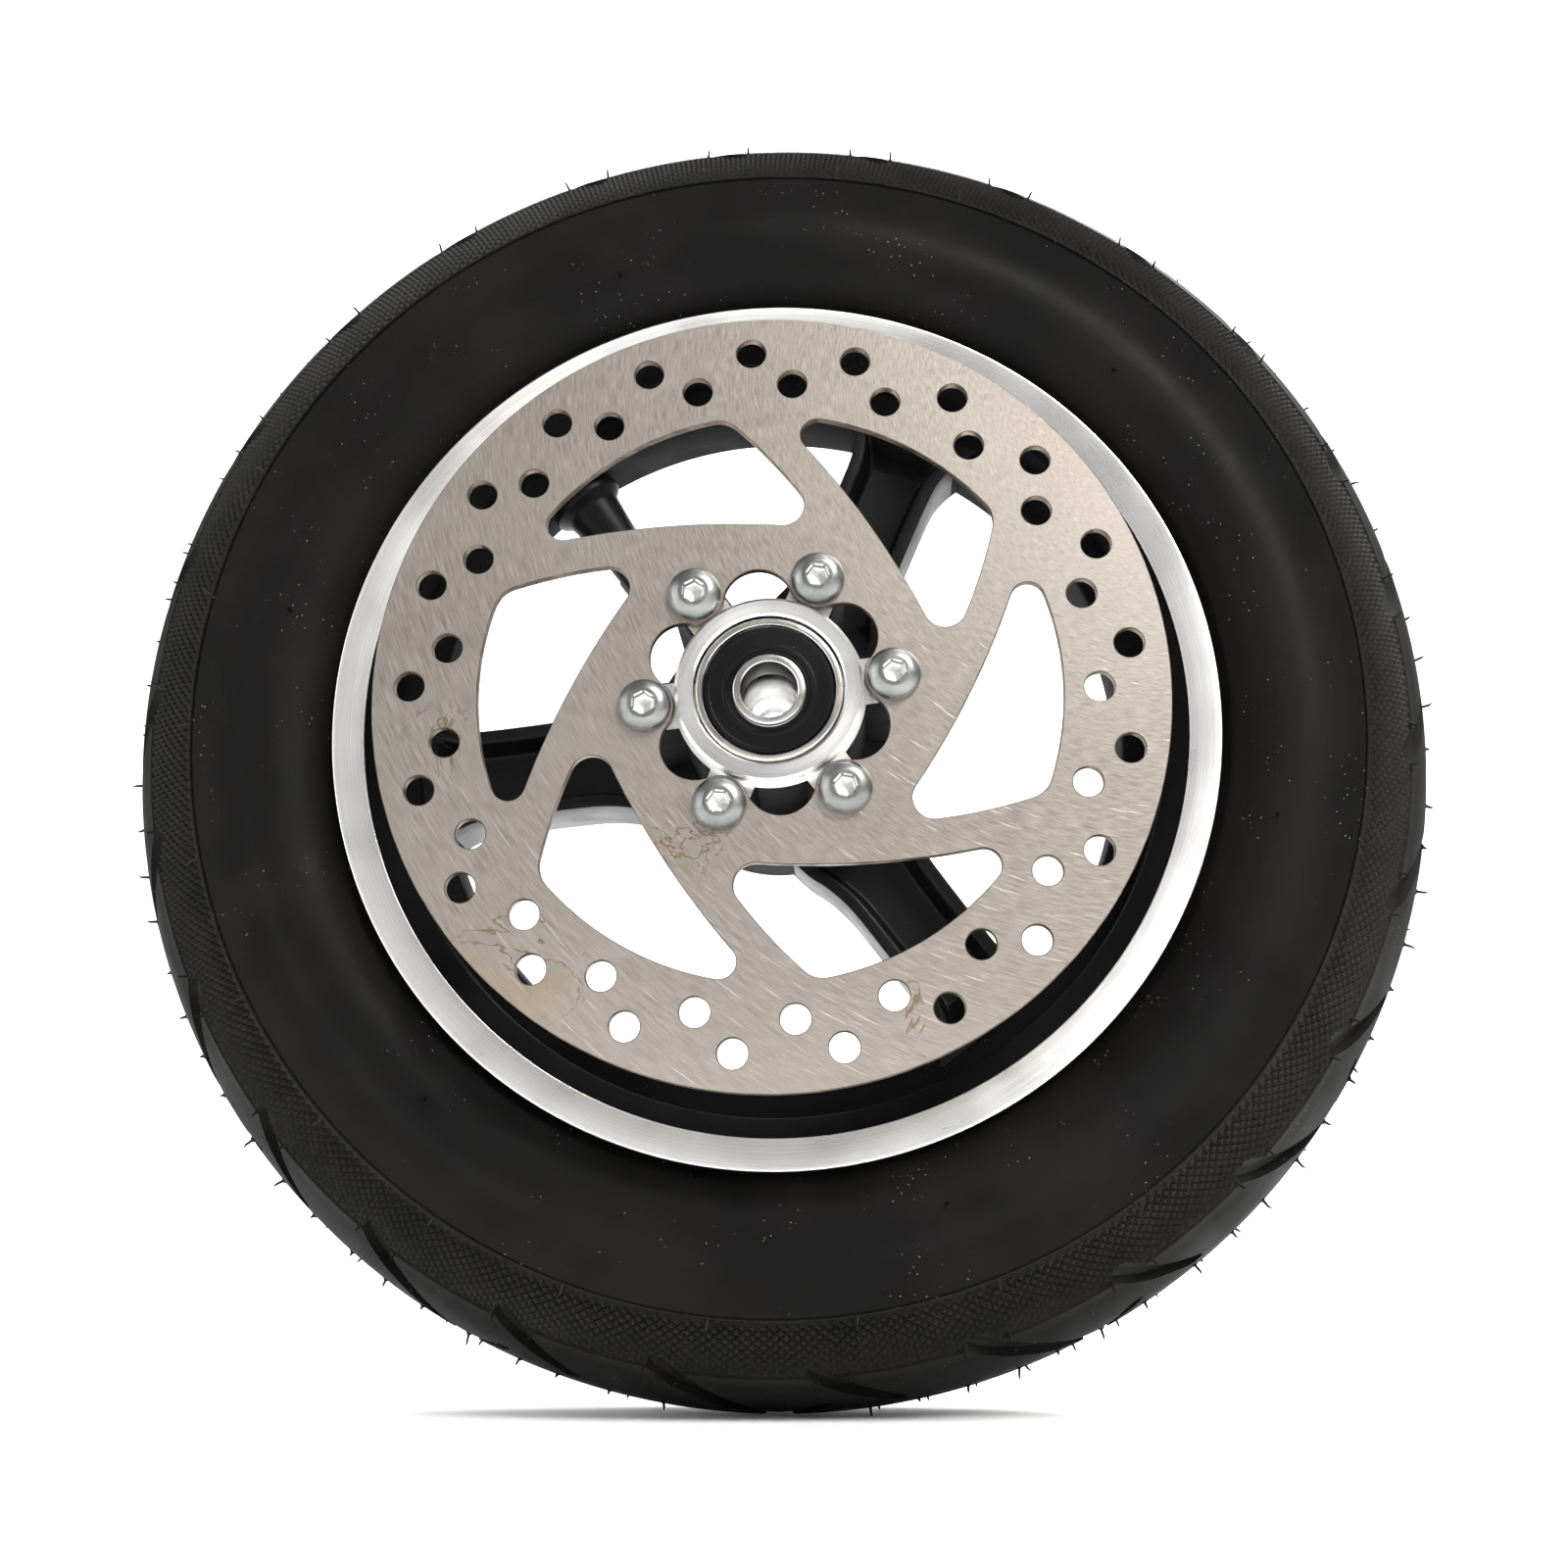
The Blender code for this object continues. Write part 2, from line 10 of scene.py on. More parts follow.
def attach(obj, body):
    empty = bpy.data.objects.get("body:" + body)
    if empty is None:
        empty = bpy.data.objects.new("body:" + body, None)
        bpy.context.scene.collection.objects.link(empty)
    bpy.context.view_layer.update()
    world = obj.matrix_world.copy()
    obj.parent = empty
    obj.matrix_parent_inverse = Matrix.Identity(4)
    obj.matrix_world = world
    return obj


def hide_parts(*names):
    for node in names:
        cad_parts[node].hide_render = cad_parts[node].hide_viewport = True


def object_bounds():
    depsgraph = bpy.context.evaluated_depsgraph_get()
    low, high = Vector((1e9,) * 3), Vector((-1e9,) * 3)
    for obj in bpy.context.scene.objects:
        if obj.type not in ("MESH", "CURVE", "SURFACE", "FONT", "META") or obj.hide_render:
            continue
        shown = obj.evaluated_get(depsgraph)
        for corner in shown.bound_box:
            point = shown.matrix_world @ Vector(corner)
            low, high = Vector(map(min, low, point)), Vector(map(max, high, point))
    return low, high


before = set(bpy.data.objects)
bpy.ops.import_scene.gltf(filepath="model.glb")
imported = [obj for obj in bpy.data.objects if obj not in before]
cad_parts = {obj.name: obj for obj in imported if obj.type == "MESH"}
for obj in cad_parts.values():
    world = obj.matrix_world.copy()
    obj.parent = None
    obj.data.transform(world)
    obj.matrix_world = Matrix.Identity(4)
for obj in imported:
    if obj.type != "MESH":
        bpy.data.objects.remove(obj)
CAD_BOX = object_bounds()

# Undriven kick-scooter wheel. The axle lies along Y, the brake disc faces -Y, and angles are counted from
# +X towards +Z. Shapes are given in millimetres, as in the CAD, and become metres through MM.
MM = 0.001

SCREW_DEGS = [7 + 60 * i for i in range(6)]
SCREW_CIRCLE = 22               # radius of the circle that the six screws stand on
SCREW_HOLE = 2.8                # radius of their holes in the disc and the rim
SPOKE_DEGS = [67, 187, 307]
VALVE_DEG = 127
SPACER_FRONT, SPACER_REAR = -36.65, 21.7    # the spacer's ends, where the bearings stop
BEARINGS = {"front": -40.95, "rear": 26}  # the middle of each bearing


# ---- shapes

def polar(radius, degrees):
    """A point in a plane, as a 2-D vector."""
    return Vector((radius * cos(radians(degrees)), radius * sin(radians(degrees))))


def arc(centre, radius, start_deg, end_deg, steps, skip_last=False):
    """Points along an arc from start_deg to end_deg."""
    count = steps if skip_last else steps + 1
    span = end_deg - start_deg
    return [Vector(centre) + polar(radius, start_deg + span * i / steps) for i in range(count)]


def circle(centre, radius, steps):
    return arc(centre, radius, 0, 360, steps, skip_last=True)


def bearing_deg(centre, point):
    """Direction from centre to point, in degrees."""
    offset = Vector(point) - Vector(centre)
    return math.degrees(math.atan2(offset.y, offset.x))


def arc_between(centre, radius, start, end, steps):
    """The shorter arc about centre from the direction of start to the direction of end."""
    first = bearing_deg(centre, start)
    turn_by = (bearing_deg(centre, end) - first + 180) % 360 - 180
    return arc(centre, radius, first, first + turn_by, steps)


def circles_meet(centre_a, radius_a, centre_b, radius_b, near):
    """The crossing of two circles that lies nearest to a given point."""
    a, b = Vector(centre_a), Vector(centre_b)
    apart = (b - a).length
    along = (radius_a ** 2 - radius_b ** 2 + apart ** 2) / (2 * apart)
    across = sqrt(max(radius_a ** 2 - along ** 2, 0))
    unit = (b - a) / apart
    side = Vector((-unit.y, unit.x))
    crossings = [a + unit * along + side * across * sign for sign in (1, -1)]
    return min(crossings, key=lambda point: (point - Vector(near)).length)


def level(outline, y):
    """A 2-D outline as points of the XZ plane at height y."""
    return [Vector((p.x, y, p.y)) for p in outline]


def spot(radius, degrees, y=0):
    """The point of space at a radius, a direction and a height along the axle."""
    return level([polar(radius, degrees)], y)[0]


def turn(outline, degrees):
    """Rotate an outline about the wheel's axle."""
    turned_by = Matrix.Rotation(radians(degrees), 2)
    return [turned_by @ Vector(point) for point in outline]


def rounded(points, radii, steps):
    """Replace an outline's corners with arcs. radii is one number or one for each corner."""
    points = [Vector(p) for p in points]
    count = len(points)
    if not isinstance(radii, list):
        radii = [radii] * count
    out = []
    for i, point in enumerate(points):
        radius = radii[i]
        if radius <= 0:
            out.append(point)
            continue
        back, ahead = points[i - 1] - point, points[(i + 1) % count] - point
        angle = back.angle(ahead)
        if angle > pi - 0.02:
            start, end = point + back * 0.02, point + ahead * 0.02
            out += [start.lerp(end, k / steps) for k in range(steps + 1)]
            continue
        reach = min(radius / tan(angle / 2), back.length * 0.48, ahead.length * 0.48)
        radius = reach * tan(angle / 2)
        start, end = point + back.normalized() * reach, point + ahead.normalized() * reach
        inward = (back.normalized() + ahead.normalized()).normalized()
        out += arc_between(point + inward * (radius / sin(angle / 2)), radius, start, end, steps)
    return out


def mirrored(half):
    """Close a half profile, given at negative y, with its mirror image."""
    return half + [(radius, -y) for radius, y in reversed(half) if y != 0]


def smooth_through(points, per_span):
    """A Catmull-Rom curve through 2-D points, with per_span steps between neighbours."""
    points = [Vector(p) for p in points]
    ends = [points[0] * 2 - points[1]] + points + [points[-1] * 2 - points[-2]]
    out = []
    for i in range(1, len(ends) - 2):
        p0, p1, p2, p3 = ends[i - 1:i + 3]
        for j in range(per_span):
            t = j / per_span
            out.append(0.5 * ((2 * p1) + (p2 - p0) * t + (2 * p0 - 5 * p1 + 4 * p2 - p3) * t * t
                              + (3 * p1 - p0 - 3 * p2 + p3) * t ** 3))
    return out + [points[-1]]


def add_object(name, data):
    made = bpy.data.objects.new(name, data)
    bpy.context.collection.objects.link(made)
    return made


def shade(mesh, sharp_deg):
    """Smooth shading, with sharp edges beyond an angle."""
    mesh.shade_smooth()
    mesh.set_sharp_from_angle(angle=radians(sharp_deg))


class Shape:
    """Collects closed bodies, in millimetres, for one piece."""

    def __init__(self):
        self.verts, self.faces, self.slots = [], [], []

    def add(self, verts, faces, place=None):
        first = len(self.verts)
        self.verts += [place @ Vector(v) for v in verts] if place else [Vector(v) for v in verts]
        self.faces += [tuple(first + i for i in face) for face in faces]
        self.slots += [0] * len(faces)

    def lathe(self, profile, steps, offset_y=0, place=None):
        """Spin a closed profile of (radius, y) about Y. A point at radius 0 becomes one vertex."""
        verts, rings = [], []
        for radius, y in profile:
            if radius < 1e-6:
                rings.append([len(verts)] * steps)
                verts.append((0, y + offset_y, 0))
            else:
                rings.append(list(range(len(verts), len(verts) + steps)))
                verts += level(circle((0, 0), radius, steps), y + offset_y)
        faces = []
        for ring, after in zip(rings, rings[1:] + rings[:1]):
            for i in range(steps):
                j = (i + 1) % steps
                face = [ring[i], ring[j], after[j], after[i]]
                face = [v for k, v in enumerate(face) if v not in face[:k]]
                if len(face) > 2:
                    faces.append(face)
        self.add(verts, faces, place)

    def loft(self, sections):
        """Skin closed loops of equal length, with a face over each end."""
        verts = [point for section in sections for point in section]
        size = len(sections[0])
        faces = []
        for s in range(len(sections) - 1):
            for i in range(size):
                j = (i + 1) % size
                a = s * size
                faces.append((a + i, a + j, a + size + j, a + size + i))
        faces.append(tuple(range(size))[::-1])
        faces.append(tuple(range(len(verts) - size, len(verts))))
        self.add(verts, faces)

    def plate(self, outlines, y_front, y_back, chamfer, edge_slot=0):
        """A flat plate in the XZ plane. The first outline is its rim and the others are holes."""
        bm = bmesh.new()
        layers = [(y_front, chamfer), (y_front + chamfer, 0), (y_back - chamfer, 0), (y_back, chamfer)]
        edge_loops = {0: [], 3: []}
        for number, outline in enumerate(outlines):
            points = [Vector(p) for p in outline]
            count = len(points)
            area = sum(points[i - 1].x * points[i].y - points[i].x * points[i - 1].y for i in range(count))
            sign = 1 if (area > 0) == (number == 0) else -1
            inward = []
            for i in range(count):
                along = (points[(i + 1) % count] - points[i - 1]).normalized()
                inward.append(Vector((-along.y, along.x)) * sign)
            loops = []
            for y, inset in layers:
                loops.append([bm.verts.new((p.x + n.x * inset, y, p.y + n.y * inset))
                              for p, n in zip(points, inward)])
            for upper, lower in zip(loops, loops[1:]):
                for i in range(count):
                    j = (i + 1) % count
                    bm.faces.new((upper[i], upper[j], lower[j], lower[i])).material_index = edge_slot
            for layer in edge_loops:
                loop = loops[layer]
                edge_loops[layer] += [bm.edges.get(pair) for pair in zip(loop, loop[1:] + loop[:1])]
        for layer, edges in edge_loops.items():
            filled = bmesh.ops.triangle_fill(bm, edges=edges, use_beauty=True)
            for item in filled["geom"]:
                if isinstance(item, bmesh.types.BMFace):
                    item.material_index = 0
        bm.verts.index_update()
        first = len(self.verts)
        self.verts += [v.co.copy() for v in bm.verts]
        for face in bm.faces:
            self.faces.append(tuple(first + v.index for v in face.verts))
            self.slots.append(face.material_index)
        bm.free()

    def build(self, name, looks, sharp_deg=32):
        """Make the object, with outward faces and smooth shading up to the sharp angle."""
        bm = bmesh.new()
        verts = [bm.verts.new(v * MM) for v in self.verts]
        for face, slot in zip(self.faces, self.slots):
            made = bm.faces.new([verts[i] for i in face])
            made.material_index = slot
        bmesh.ops.remove_doubles(bm, verts=bm.verts, dist=2e-7)
        bmesh.ops.recalc_face_normals(bm, faces=bm.faces)
        mesh = bpy.data.meshes.new(name)
        bm.to_mesh(mesh)
        bm.free()
        for look in looks:
            mesh.materials.append(look)
        shade(mesh, sharp_deg)
        return add_object(name, mesh)


def turned(name, looks, sharp_deg, profile, steps, **there):
    """A piece that is one profile spun about an axis."""
    shape = Shape()
    shape.lathe(profile, steps, **there)
    return shape.build(name, looks, sharp_deg)


def on_radius(degrees):
    """Turns the Y axis outwards along a spoke direction."""
    return Matrix.Rotation(radians(90 - degrees), 4, 'Y') @ Matrix.Rotation(radians(90), 4, 'X')


def cut(target, other, operation, sharp_deg=32):
    """Apply an exact Boolean and remove the object it read."""
    modifier = target.modifiers.new("cut", 'BOOLEAN')
    modifier.object, modifier.operation, modifier.solver = other, operation, 'EXACT'
    depsgraph = bpy.context.evaluated_depsgraph_get()
    depsgraph.update()
    mesh = bpy.data.meshes.new_from_object(target.evaluated_get(depsgraph))
    target.modifiers.clear()
    target.data = mesh
    bpy.data.objects.remove(other)
    shade(mesh, sharp_deg)


def place(piece, body, slot_name, *nodes):
    """Let a piece ride on its body and stand for its CAD nodes."""
    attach(piece, body)
    if nodes:
        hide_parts(*nodes)


# ---- materials

class Look:
    """A Principled material, built node by node in the piece's own coordinates."""

    def __init__(self, name, colour, roughness, metallic=0, **constants):
        self.material = bpy.data.materials.new(name)
        self.material.use_nodes = True
        self.tree = self.material.node_tree
        self.shader = self.tree.nodes["Principled BSDF"]
        self.set("Metallic", metallic)
        for socket, value in constants.items():
            self.set(socket.replace("_", " "), value)
        self.where = self.new("ShaderNodeTexCoord").outputs["Object"]
        self.set("Base Color", (*colour, 1))
        self.set("Roughness", roughness)
        self.material.diffuse_color = (*colour, 1)

    def new(self, kind, **settings):
        node = self.tree.nodes.new(kind)
        for key, value in settings.items():
            setattr(node, key, value)
        return node

    def feed(self, socket, value):
        if isinstance(value, bpy.types.NodeSocket):
            self.tree.links.new(value, socket)
        else:
            socket.default_value = value

    def set(self, name, value):
        self.feed(self.shader.inputs[name], value)

    def maths(self, operation, a, b=0):
        node = self.new("ShaderNodeMath", operation=operation)
        self.feed(node.inputs[0], a)
        self.feed(node.inputs[1], b)
        return node.outputs[0]

    def plus(self, a, b):
        return self.maths('ADD', a, b)

    def times(self, a, b):
        return self.maths('MULTIPLY', a, b)

    def span(self, value, low, high, to_low=0, to_high=1):
        """Map low..high smoothly onto to_low..to_high, and hold it there."""
        node = self.new("ShaderNodeMapRange", interpolation_type='SMOOTHSTEP')
        for number, item in enumerate((value, low, high, to_low, to_high)):
            self.feed(node.inputs[number], item)
        return node.outputs[0]

    def noise(self, scale, detail=3, roughness=0.55, where=None, distortion=0):
        node = self.new("ShaderNodeTexNoise")
        self.feed(node.inputs["Vector"], where or self.where)
        for key, value in (("Scale", scale), ("Detail", detail), ("Roughness", roughness),
                           ("Distortion", distortion)):
            node.inputs[key].default_value = value
        return node.outputs["Fac"]

    def cloud(self, scale, detail, low, high, to_low=0, to_high=1):
        """Soft patches: noise, with its values from low to high mapped onto to_low..to_high."""
        return self.span(self.noise(scale, detail), low, high, to_low, to_high)

    def cells(self, scale):
        """Distance to the nearest of many scattered points."""
        node = self.new("ShaderNodeTexVoronoi", feature='F1')
        self.feed(node.inputs["Vector"], self.where)
        node.inputs["Scale"].default_value = scale
        return node.outputs["Distance"]

    def shifted(self, x, y, z):
        """The piece's coordinates moved, in metres, so that a second noise differs from the first."""
        node = self.new("ShaderNodeMapping")
        self.feed(node.inputs["Vector"], self.where)
        node.inputs["Location"].default_value = (x, y, z)
        return node.outputs[0]

    def parts(self):
        node = self.new("ShaderNodeSeparateXYZ")
        self.feed(node.inputs[0], self.where)
        return node.outputs

    def joined(self, x, y, z):
        node = self.new("ShaderNodeCombineXYZ")
        for socket, value in zip(node.inputs, (x, y, z)):
            self.feed(socket, value)
        return node.outputs[0]

    def around(self, centre=(0, 0)):
        """Radius and angle about a point of the XZ plane, and y."""
        x, y, z = self.parts()
        x, z = self.maths('SUBTRACT', x, centre[0] * MM), self.maths('SUBTRACT', z, centre[1] * MM)
        squared = self.plus(self.times(x, x), self.times(z, z))
        return self.maths('SQRT', squared), self.maths('ARCTAN2', z, x), y

    def mix(self, factor, a, b):
        node = self.new("ShaderNodeMix", data_type='RGBA', blend_type='MIX')
        for number, value in ((0, factor), (6, a), (7, b)):
            if isinstance(value, tuple) and len(value) == 3:
                value = (*value, 1)
            self.feed(node.inputs[number], value)
        return node.outputs[2]

    def lay(self, factor, colour, strength=1):
        """Lay a colour over the base colour so far, where factor is high."""
        base = self.shader.inputs["Base Color"]
        below = base.links[0].from_socket if base.links else tuple(base.default_value)
        if strength != 1:
            factor = self.times(factor, strength)
        self.set("Base Color", self.mix(factor, below, colour))

    def bump(self, height, distance_mm, before=None):
        """Raise the surface by a pattern, on top of the bump that came before it."""
        node = self.new("ShaderNodeBump")
        node.inputs["Strength"].default_value = 1
        node.inputs["Distance"].default_value = distance_mm * MM
        self.feed(node.inputs["Height"], height)
        if before:
            self.feed(node.inputs["Normal"], before)
        self.set("Normal", node.outputs[0])
        return node.outputs[0]


def rubber_look(name, dark, pale, rough, grain_mm, dust):
    """Moulded rubber: cloudy black with smears, a fine grain, and specks of pale dust."""
    look = Look(name, dark, rough, Specular_IOR_Level=0.10)
    look.lay(look.cloud(28, 5, 0.35, 0.7), pale, 0.8)
    smear = look.noise(9, 4, where=look.shifted(0.3, 0.1, 0.7), distortion=1.2)
    look.lay(look.span(smear, 0.5, 0.78), tuple(c * 2.2 for c in pale), 0.35)
    specks = look.times(look.span(look.cells(800), 0.13, 0.06), look.cloud(90, 2, 0.52, 0.62))
    look.lay(specks, (0.20, 0.195, 0.18), dust)
    look.set("Roughness", look.cloud(70, 4, 0.3, 0.75, rough - 0.08, rough + 0.08))
    look.bump(look.noise(1500, 3, 0.7), grain_mm)
    return look


def tyre_look():
    """The tyre's rubber, greyer on the knurled band (partly drier rubber, partly a painted sheen), and
    rougher on the tread.
    """
    look = rubber_look("tyre_rubber", (0.0024, 0.0022, 0.0021), (0.0058, 0.0053, 0.0049), 0.50, 0.02, 0.9)
    radius = look.around()[0]
    band = look.times(look.span(radius, 0.1068, 0.1078), look.span(radius, 0.1195, 0.1170))
    # Paler grey over the knurled band: partly dry rubber, partly a painted sheen for light on the knurl.
    dry_and_sheen = look.mix(look.cloud(120, 3, 0.3, 0.75), (0.0100, 0.0096, 0.0090), (0.0165, 0.0157, 0.0147))
    look.lay(band, dry_and_sheen, 0.75)
    rough = look.shader.inputs["Roughness"].links[0].from_socket
    look.set("Roughness", look.plus(rough, look.span(radius, 0.1150, 0.1190, 0, 0.24)))
    return look.material


def paint_look(name, low, high, specular):
    """Black paint on a casting, its roughness drifting between low and high, with some dust."""
    look = Look(name, (0.004, 0.004, 0.0042), low, Specular_IOR_Level=specular)
    cloud = look.cloud(35, 4, 0.3, 0.7)
    look.set("Base Color", look.mix(cloud, (0.0028, 0.0028, 0.003), (0.0055, 0.0055, 0.0058)))
    dust = look.times(look.span(look.cells(700), 0.10, 0.03), look.cloud(50, 3, 0.5, 0.62))
    look.lay(dust, (0.12, 0.115, 0.11), 0.5)
    look.set("Roughness", look.cloud(90, 4, 0.3, 0.7, low, high))
    look.bump(look.noise(650, 2), 0.035)
    return look.material


def machined_look():
    """Aluminium turned on a lathe: fine rings and a few grey smears."""
    look = Look("machined_aluminium", (0.80, 0.79, 0.775), 0.3, 1, Anisotropic=0.5)
    look.set("Tangent", look.new("ShaderNodeTangent", direction_type='RADIAL', axis='Y').outputs[0])
    radius, _, y = look.around()
    ring_place = look.joined(radius, look.times(y, 0.6), 0)
    rings = look.noise(5200, 2, 0.6, where=ring_place)
    wide = look.noise(900, 2, 0.5, where=ring_place)
    cloud = look.noise(40, 4)
    look.set("Base Color", look.mix(look.span(rings, 0.3, 0.7), (0.78, 0.77, 0.75), (0.94, 0.93, 0.91)))
    look.lay(look.span(cloud, 0.48, 0.75), (0.50, 0.49, 0.47), 0.5)
    uneven = look.span(wide, 0.3, 0.7, -0.02, 0.03)
    look.set("Roughness", look.plus(look.span(cloud, 0.3, 0.7, 0.26, 0.38), uneven))
    look.bump(rings, 0.010, before=look.bump(wide, 0.005))
    return look.material


# Rust stains on the disc: centre and reach in millimetres.
RUST_SPOTS = (((-42, -48), 17), ((-14, -25), 11), ((25, -58), 11), ((-58, -8), 9))


def disc_look():
    """Warm ground stainless steel, with long curved grinding scratches and a few rust-brown stains."""
    look = Look("ground_stainless", (0.60, 0.56, 0.52), 0.38, 1)
    radius, angle, _ = look.around(centre=(75, 60))

    def scratches(across, along, offset, detail, roughness):
        """Noise drawn out along arcs about the grinding centre."""
        place = look.joined(look.times(radius, across), look.times(angle, along), offset)
        return look.noise(1, detail, roughness, where=place)

    fine = scratches(4200, 28, 0, 3, 0.65)
    coarse = scratches(1500, 9, 3, 2, 0.6)
    x, _, z = look.parts()
    low = look.span(look.plus(z, look.times(x, -0.25)), 0.030, -0.035)
    scratch = look.times(look.span(coarse, 0.62, 0.74), look.span(low, 0, 1, 0.25, 1))
    cloud = look.cloud(22, 3, 0.3, 0.7)
    look.set("Base Color", look.mix(cloud, (0.355, 0.315, 0.277), (0.408, 0.366, 0.326)))
    look.lay(look.span(fine, 0.35, 0.7), (0.505, 0.460, 0.414), 0.55)
    look.lay(scratch, (0.78, 0.74, 0.70), 0.6)
    vein = look.noise(32, 5, 0.6, where=look.shifted(0.21, 0, 0.13), distortion=1.5)
    lines = look.span(look.maths('ABSOLUTE', look.maths('SUBTRACT', vein, 0.5)), 0.009, 0.002)
    for centre, reach in RUST_SPOTS:
        near = look.span(look.around(centre)[0], reach * MM, reach * 0.35 * MM)
        look.lay(look.times(near, look.span(vein, 0.49, 0.60)), (0.42, 0.335, 0.215), 0.55)
        look.lay(look.times(near, lines), (0.20, 0.13, 0.065), 0.7)
    look.set("Roughness", look.plus(look.span(fine, 0.3, 0.7, 0.33, 0.42), look.times(scratch, -0.08)))
    look.bump(look.plus(fine, look.times(scratch, -0.8)), 0.016)
    return look.material


def metal_look(name, colour, roughness, blotch, grain, depth_mm, tint=None):
    """Plated or bare metal with a cloudy tone and a fine grain."""
    look = Look(name, colour, roughness, 1)
    look.lay(look.cloud(210, 4, 0.3, 0.75), tint or tuple(c * 0.72 for c in colour))
    look.set("Roughness", look.cloud(480, 3, 0.3, 0.7, roughness - blotch / 2, roughness + blotch / 2))
    look.bump(look.noise(grain, 3, 0.6), depth_mm)
    return look.material


def turned_metal_look(name, colour, roughness):
    """Metal with turning lines round the axle."""
    look = Look(name, colour, roughness, 1)
    radius, _, y = look.around()
    fine = look.noise(2600, 2, 0.6, where=look.joined(radius, y, 0))
    look.set("Base Color", look.mix(look.span(fine, 0.3, 0.7), tuple(c * 0.86 for c in colour), colour))
    look.set("Roughness", look.cloud(160, 3, 0.3, 0.7, roughness - 0.06, roughness + 0.08))
    look.bump(fine, 0.010)
    return look.material


def plastic_look(name, colour, roughness):
    look = Look(name, colour, roughness, Specular_IOR_Level=0.3)
    look.lay(look.cloud(240, 4, 0.3, 0.7), tuple(c * 1.7 for c in colour))
    look.set("Roughness", look.cloud(420, 3, 0.3, 0.7, roughness - 0.07, roughness + 0.09))
    look.bump(look.noise(1300, 2), 0.02)
    return look.material


TYRE = tyre_look()
PAINT = paint_look("black_paint", 0.34, 0.48, 0.18)
MATT_PAINT = paint_look("matt_black_paint", 0.64, 0.78, 0.05)
MACHINED = machined_look()
DISC = disc_look()
DISC_EDGE = metal_look("disc_edge", (0.20, 0.155, 0.115), 0.5, 0.2, 700, 0.03, (0.07, 0.05, 0.035))
ZINC = metal_look("zinc_plate", (0.25, 0.258, 0.248), 0.38, 0.12, 800, 0.006, (0.17, 0.176, 0.168))
SOCKET = metal_look("bare_socket", (0.66, 0.66, 0.64), 0.42, 0.10, 800, 0.005, (0.58, 0.58, 0.56))
RACE = turned_metal_look("bearing_steel", (0.56, 0.535, 0.505), 0.26)
# Near-black steel for the inner rings' bore: painted shade standing in for the shadow down the bore.
BORE_PAINTED_SHADE = turned_metal_look("bearing_bore_painted_shade", (0.05, 0.048, 0.046), 0.45)
BALL = metal_look("ball_steel", (0.74, 0.73, 0.72), 0.10, 0.06, 1500, 0.004)
CAGE = metal_look("cage_steel", (0.52, 0.49, 0.44), 0.34, 0.1, 900, 0.01)
SEAL = rubber_look("seal_rubber", (0.003, 0.003, 0.0032), (0.006, 0.006, 0.0063), 0.45, 0.012, 0.25).material
VALVE_RUBBER = rubber_look("valve_rubber", (0.004, 0.004, 0.0042), (0.007, 0.007, 0.0073), 0.42, 0.015,
                           0.3).material
SPACER = turned_metal_look("turned_aluminium", (0.88, 0.875, 0.87), 0.16)
BRASS = metal_look("brass", (0.72, 0.55, 0.27), 0.26, 0.14, 900, 0.01, (0.58, 0.42, 0.19))
PLASTIC = plastic_look("black_plastic", (0.012, 0.012, 0.0125), 0.42)


# ---- tyre

TURNS = 13                      # the tread's pattern repeats this many times
SECTOR_DEG = 360 / TURNS
SECTOR_START_DEG = 5.2          # a direction that no groove crosses
FINE, MEDIUM, COARSE = 56, 28, 7            # columns in one sector
KNURL_STEPS = 13
KNURL_PEAK, KNURL_VALLEY = 0.40, -0.40
GROOVES = ((10.06, 34), (23.9, 17))     # direction and length of a sector's long and short groove
GROOVE_START_S = 3              # groove's round end, measured back into the knurl from the tread's edge
GROOVE_SLOPE = 0.45             # degrees turned for each millimetre across the tread
GROOVE_STATIONS = 22
CROWN_HAIRS = 84                # on each side
INSIDE_START = (79.5, -13.2)    # where the bead ends and the tyre's inside begins
LINE_RADIUS, LINE_HEIGHT = 84.2, 0.22       # the raised line on each sidewall

SIDEWALL = smooth_through([(78.4, -20.05), (80.4, -20.25), (82.9, -21.9), (86.5, -24.9), (91, -26.8),
                           (95.5, -27.45), (99.5, -27.15), (103, -27.5), (106.7, -28.3)], 4)
SHOULDER = [(112.6, -24.6), (115, -22.35), (117.3, -19.6)]
KNURL_EDGE = smooth_through([(107.9, -27.75), (110.3, -26.35)] + SHOULDER, 12)
TREAD = smooth_through([(117.3, -19.6), (119.6, -15.9), (121.6, -11.6), (123.4, -6.2), (124.25, -1)], 6)


def length_along(points):
    total = [0]
    for a, b in zip(points, points[1:]):
        total.append(total[-1] + (b - a).length)
    return total


def point_along(points, lengths, s):
    """The point at arc length s."""
    s = min(max(s, 0), lengths[-1] - 1e-6)
    i = min(max(k for k, value in enumerate(lengths) if value <= s), len(points) - 2)
    return points[i].lerp(points[i + 1], (s - lengths[i]) / (lengths[i + 1] - lengths[i]))


def station(points, lengths, s, reach):
    """The point at arc length s, with the direction between s - reach and s + reach and its normal."""
    along = (point_along(points, lengths, s + reach) - point_along(points, lengths, s - reach)).normalized()
    return point_along(points, lengths, s), along, Vector((along.y, -along.x))


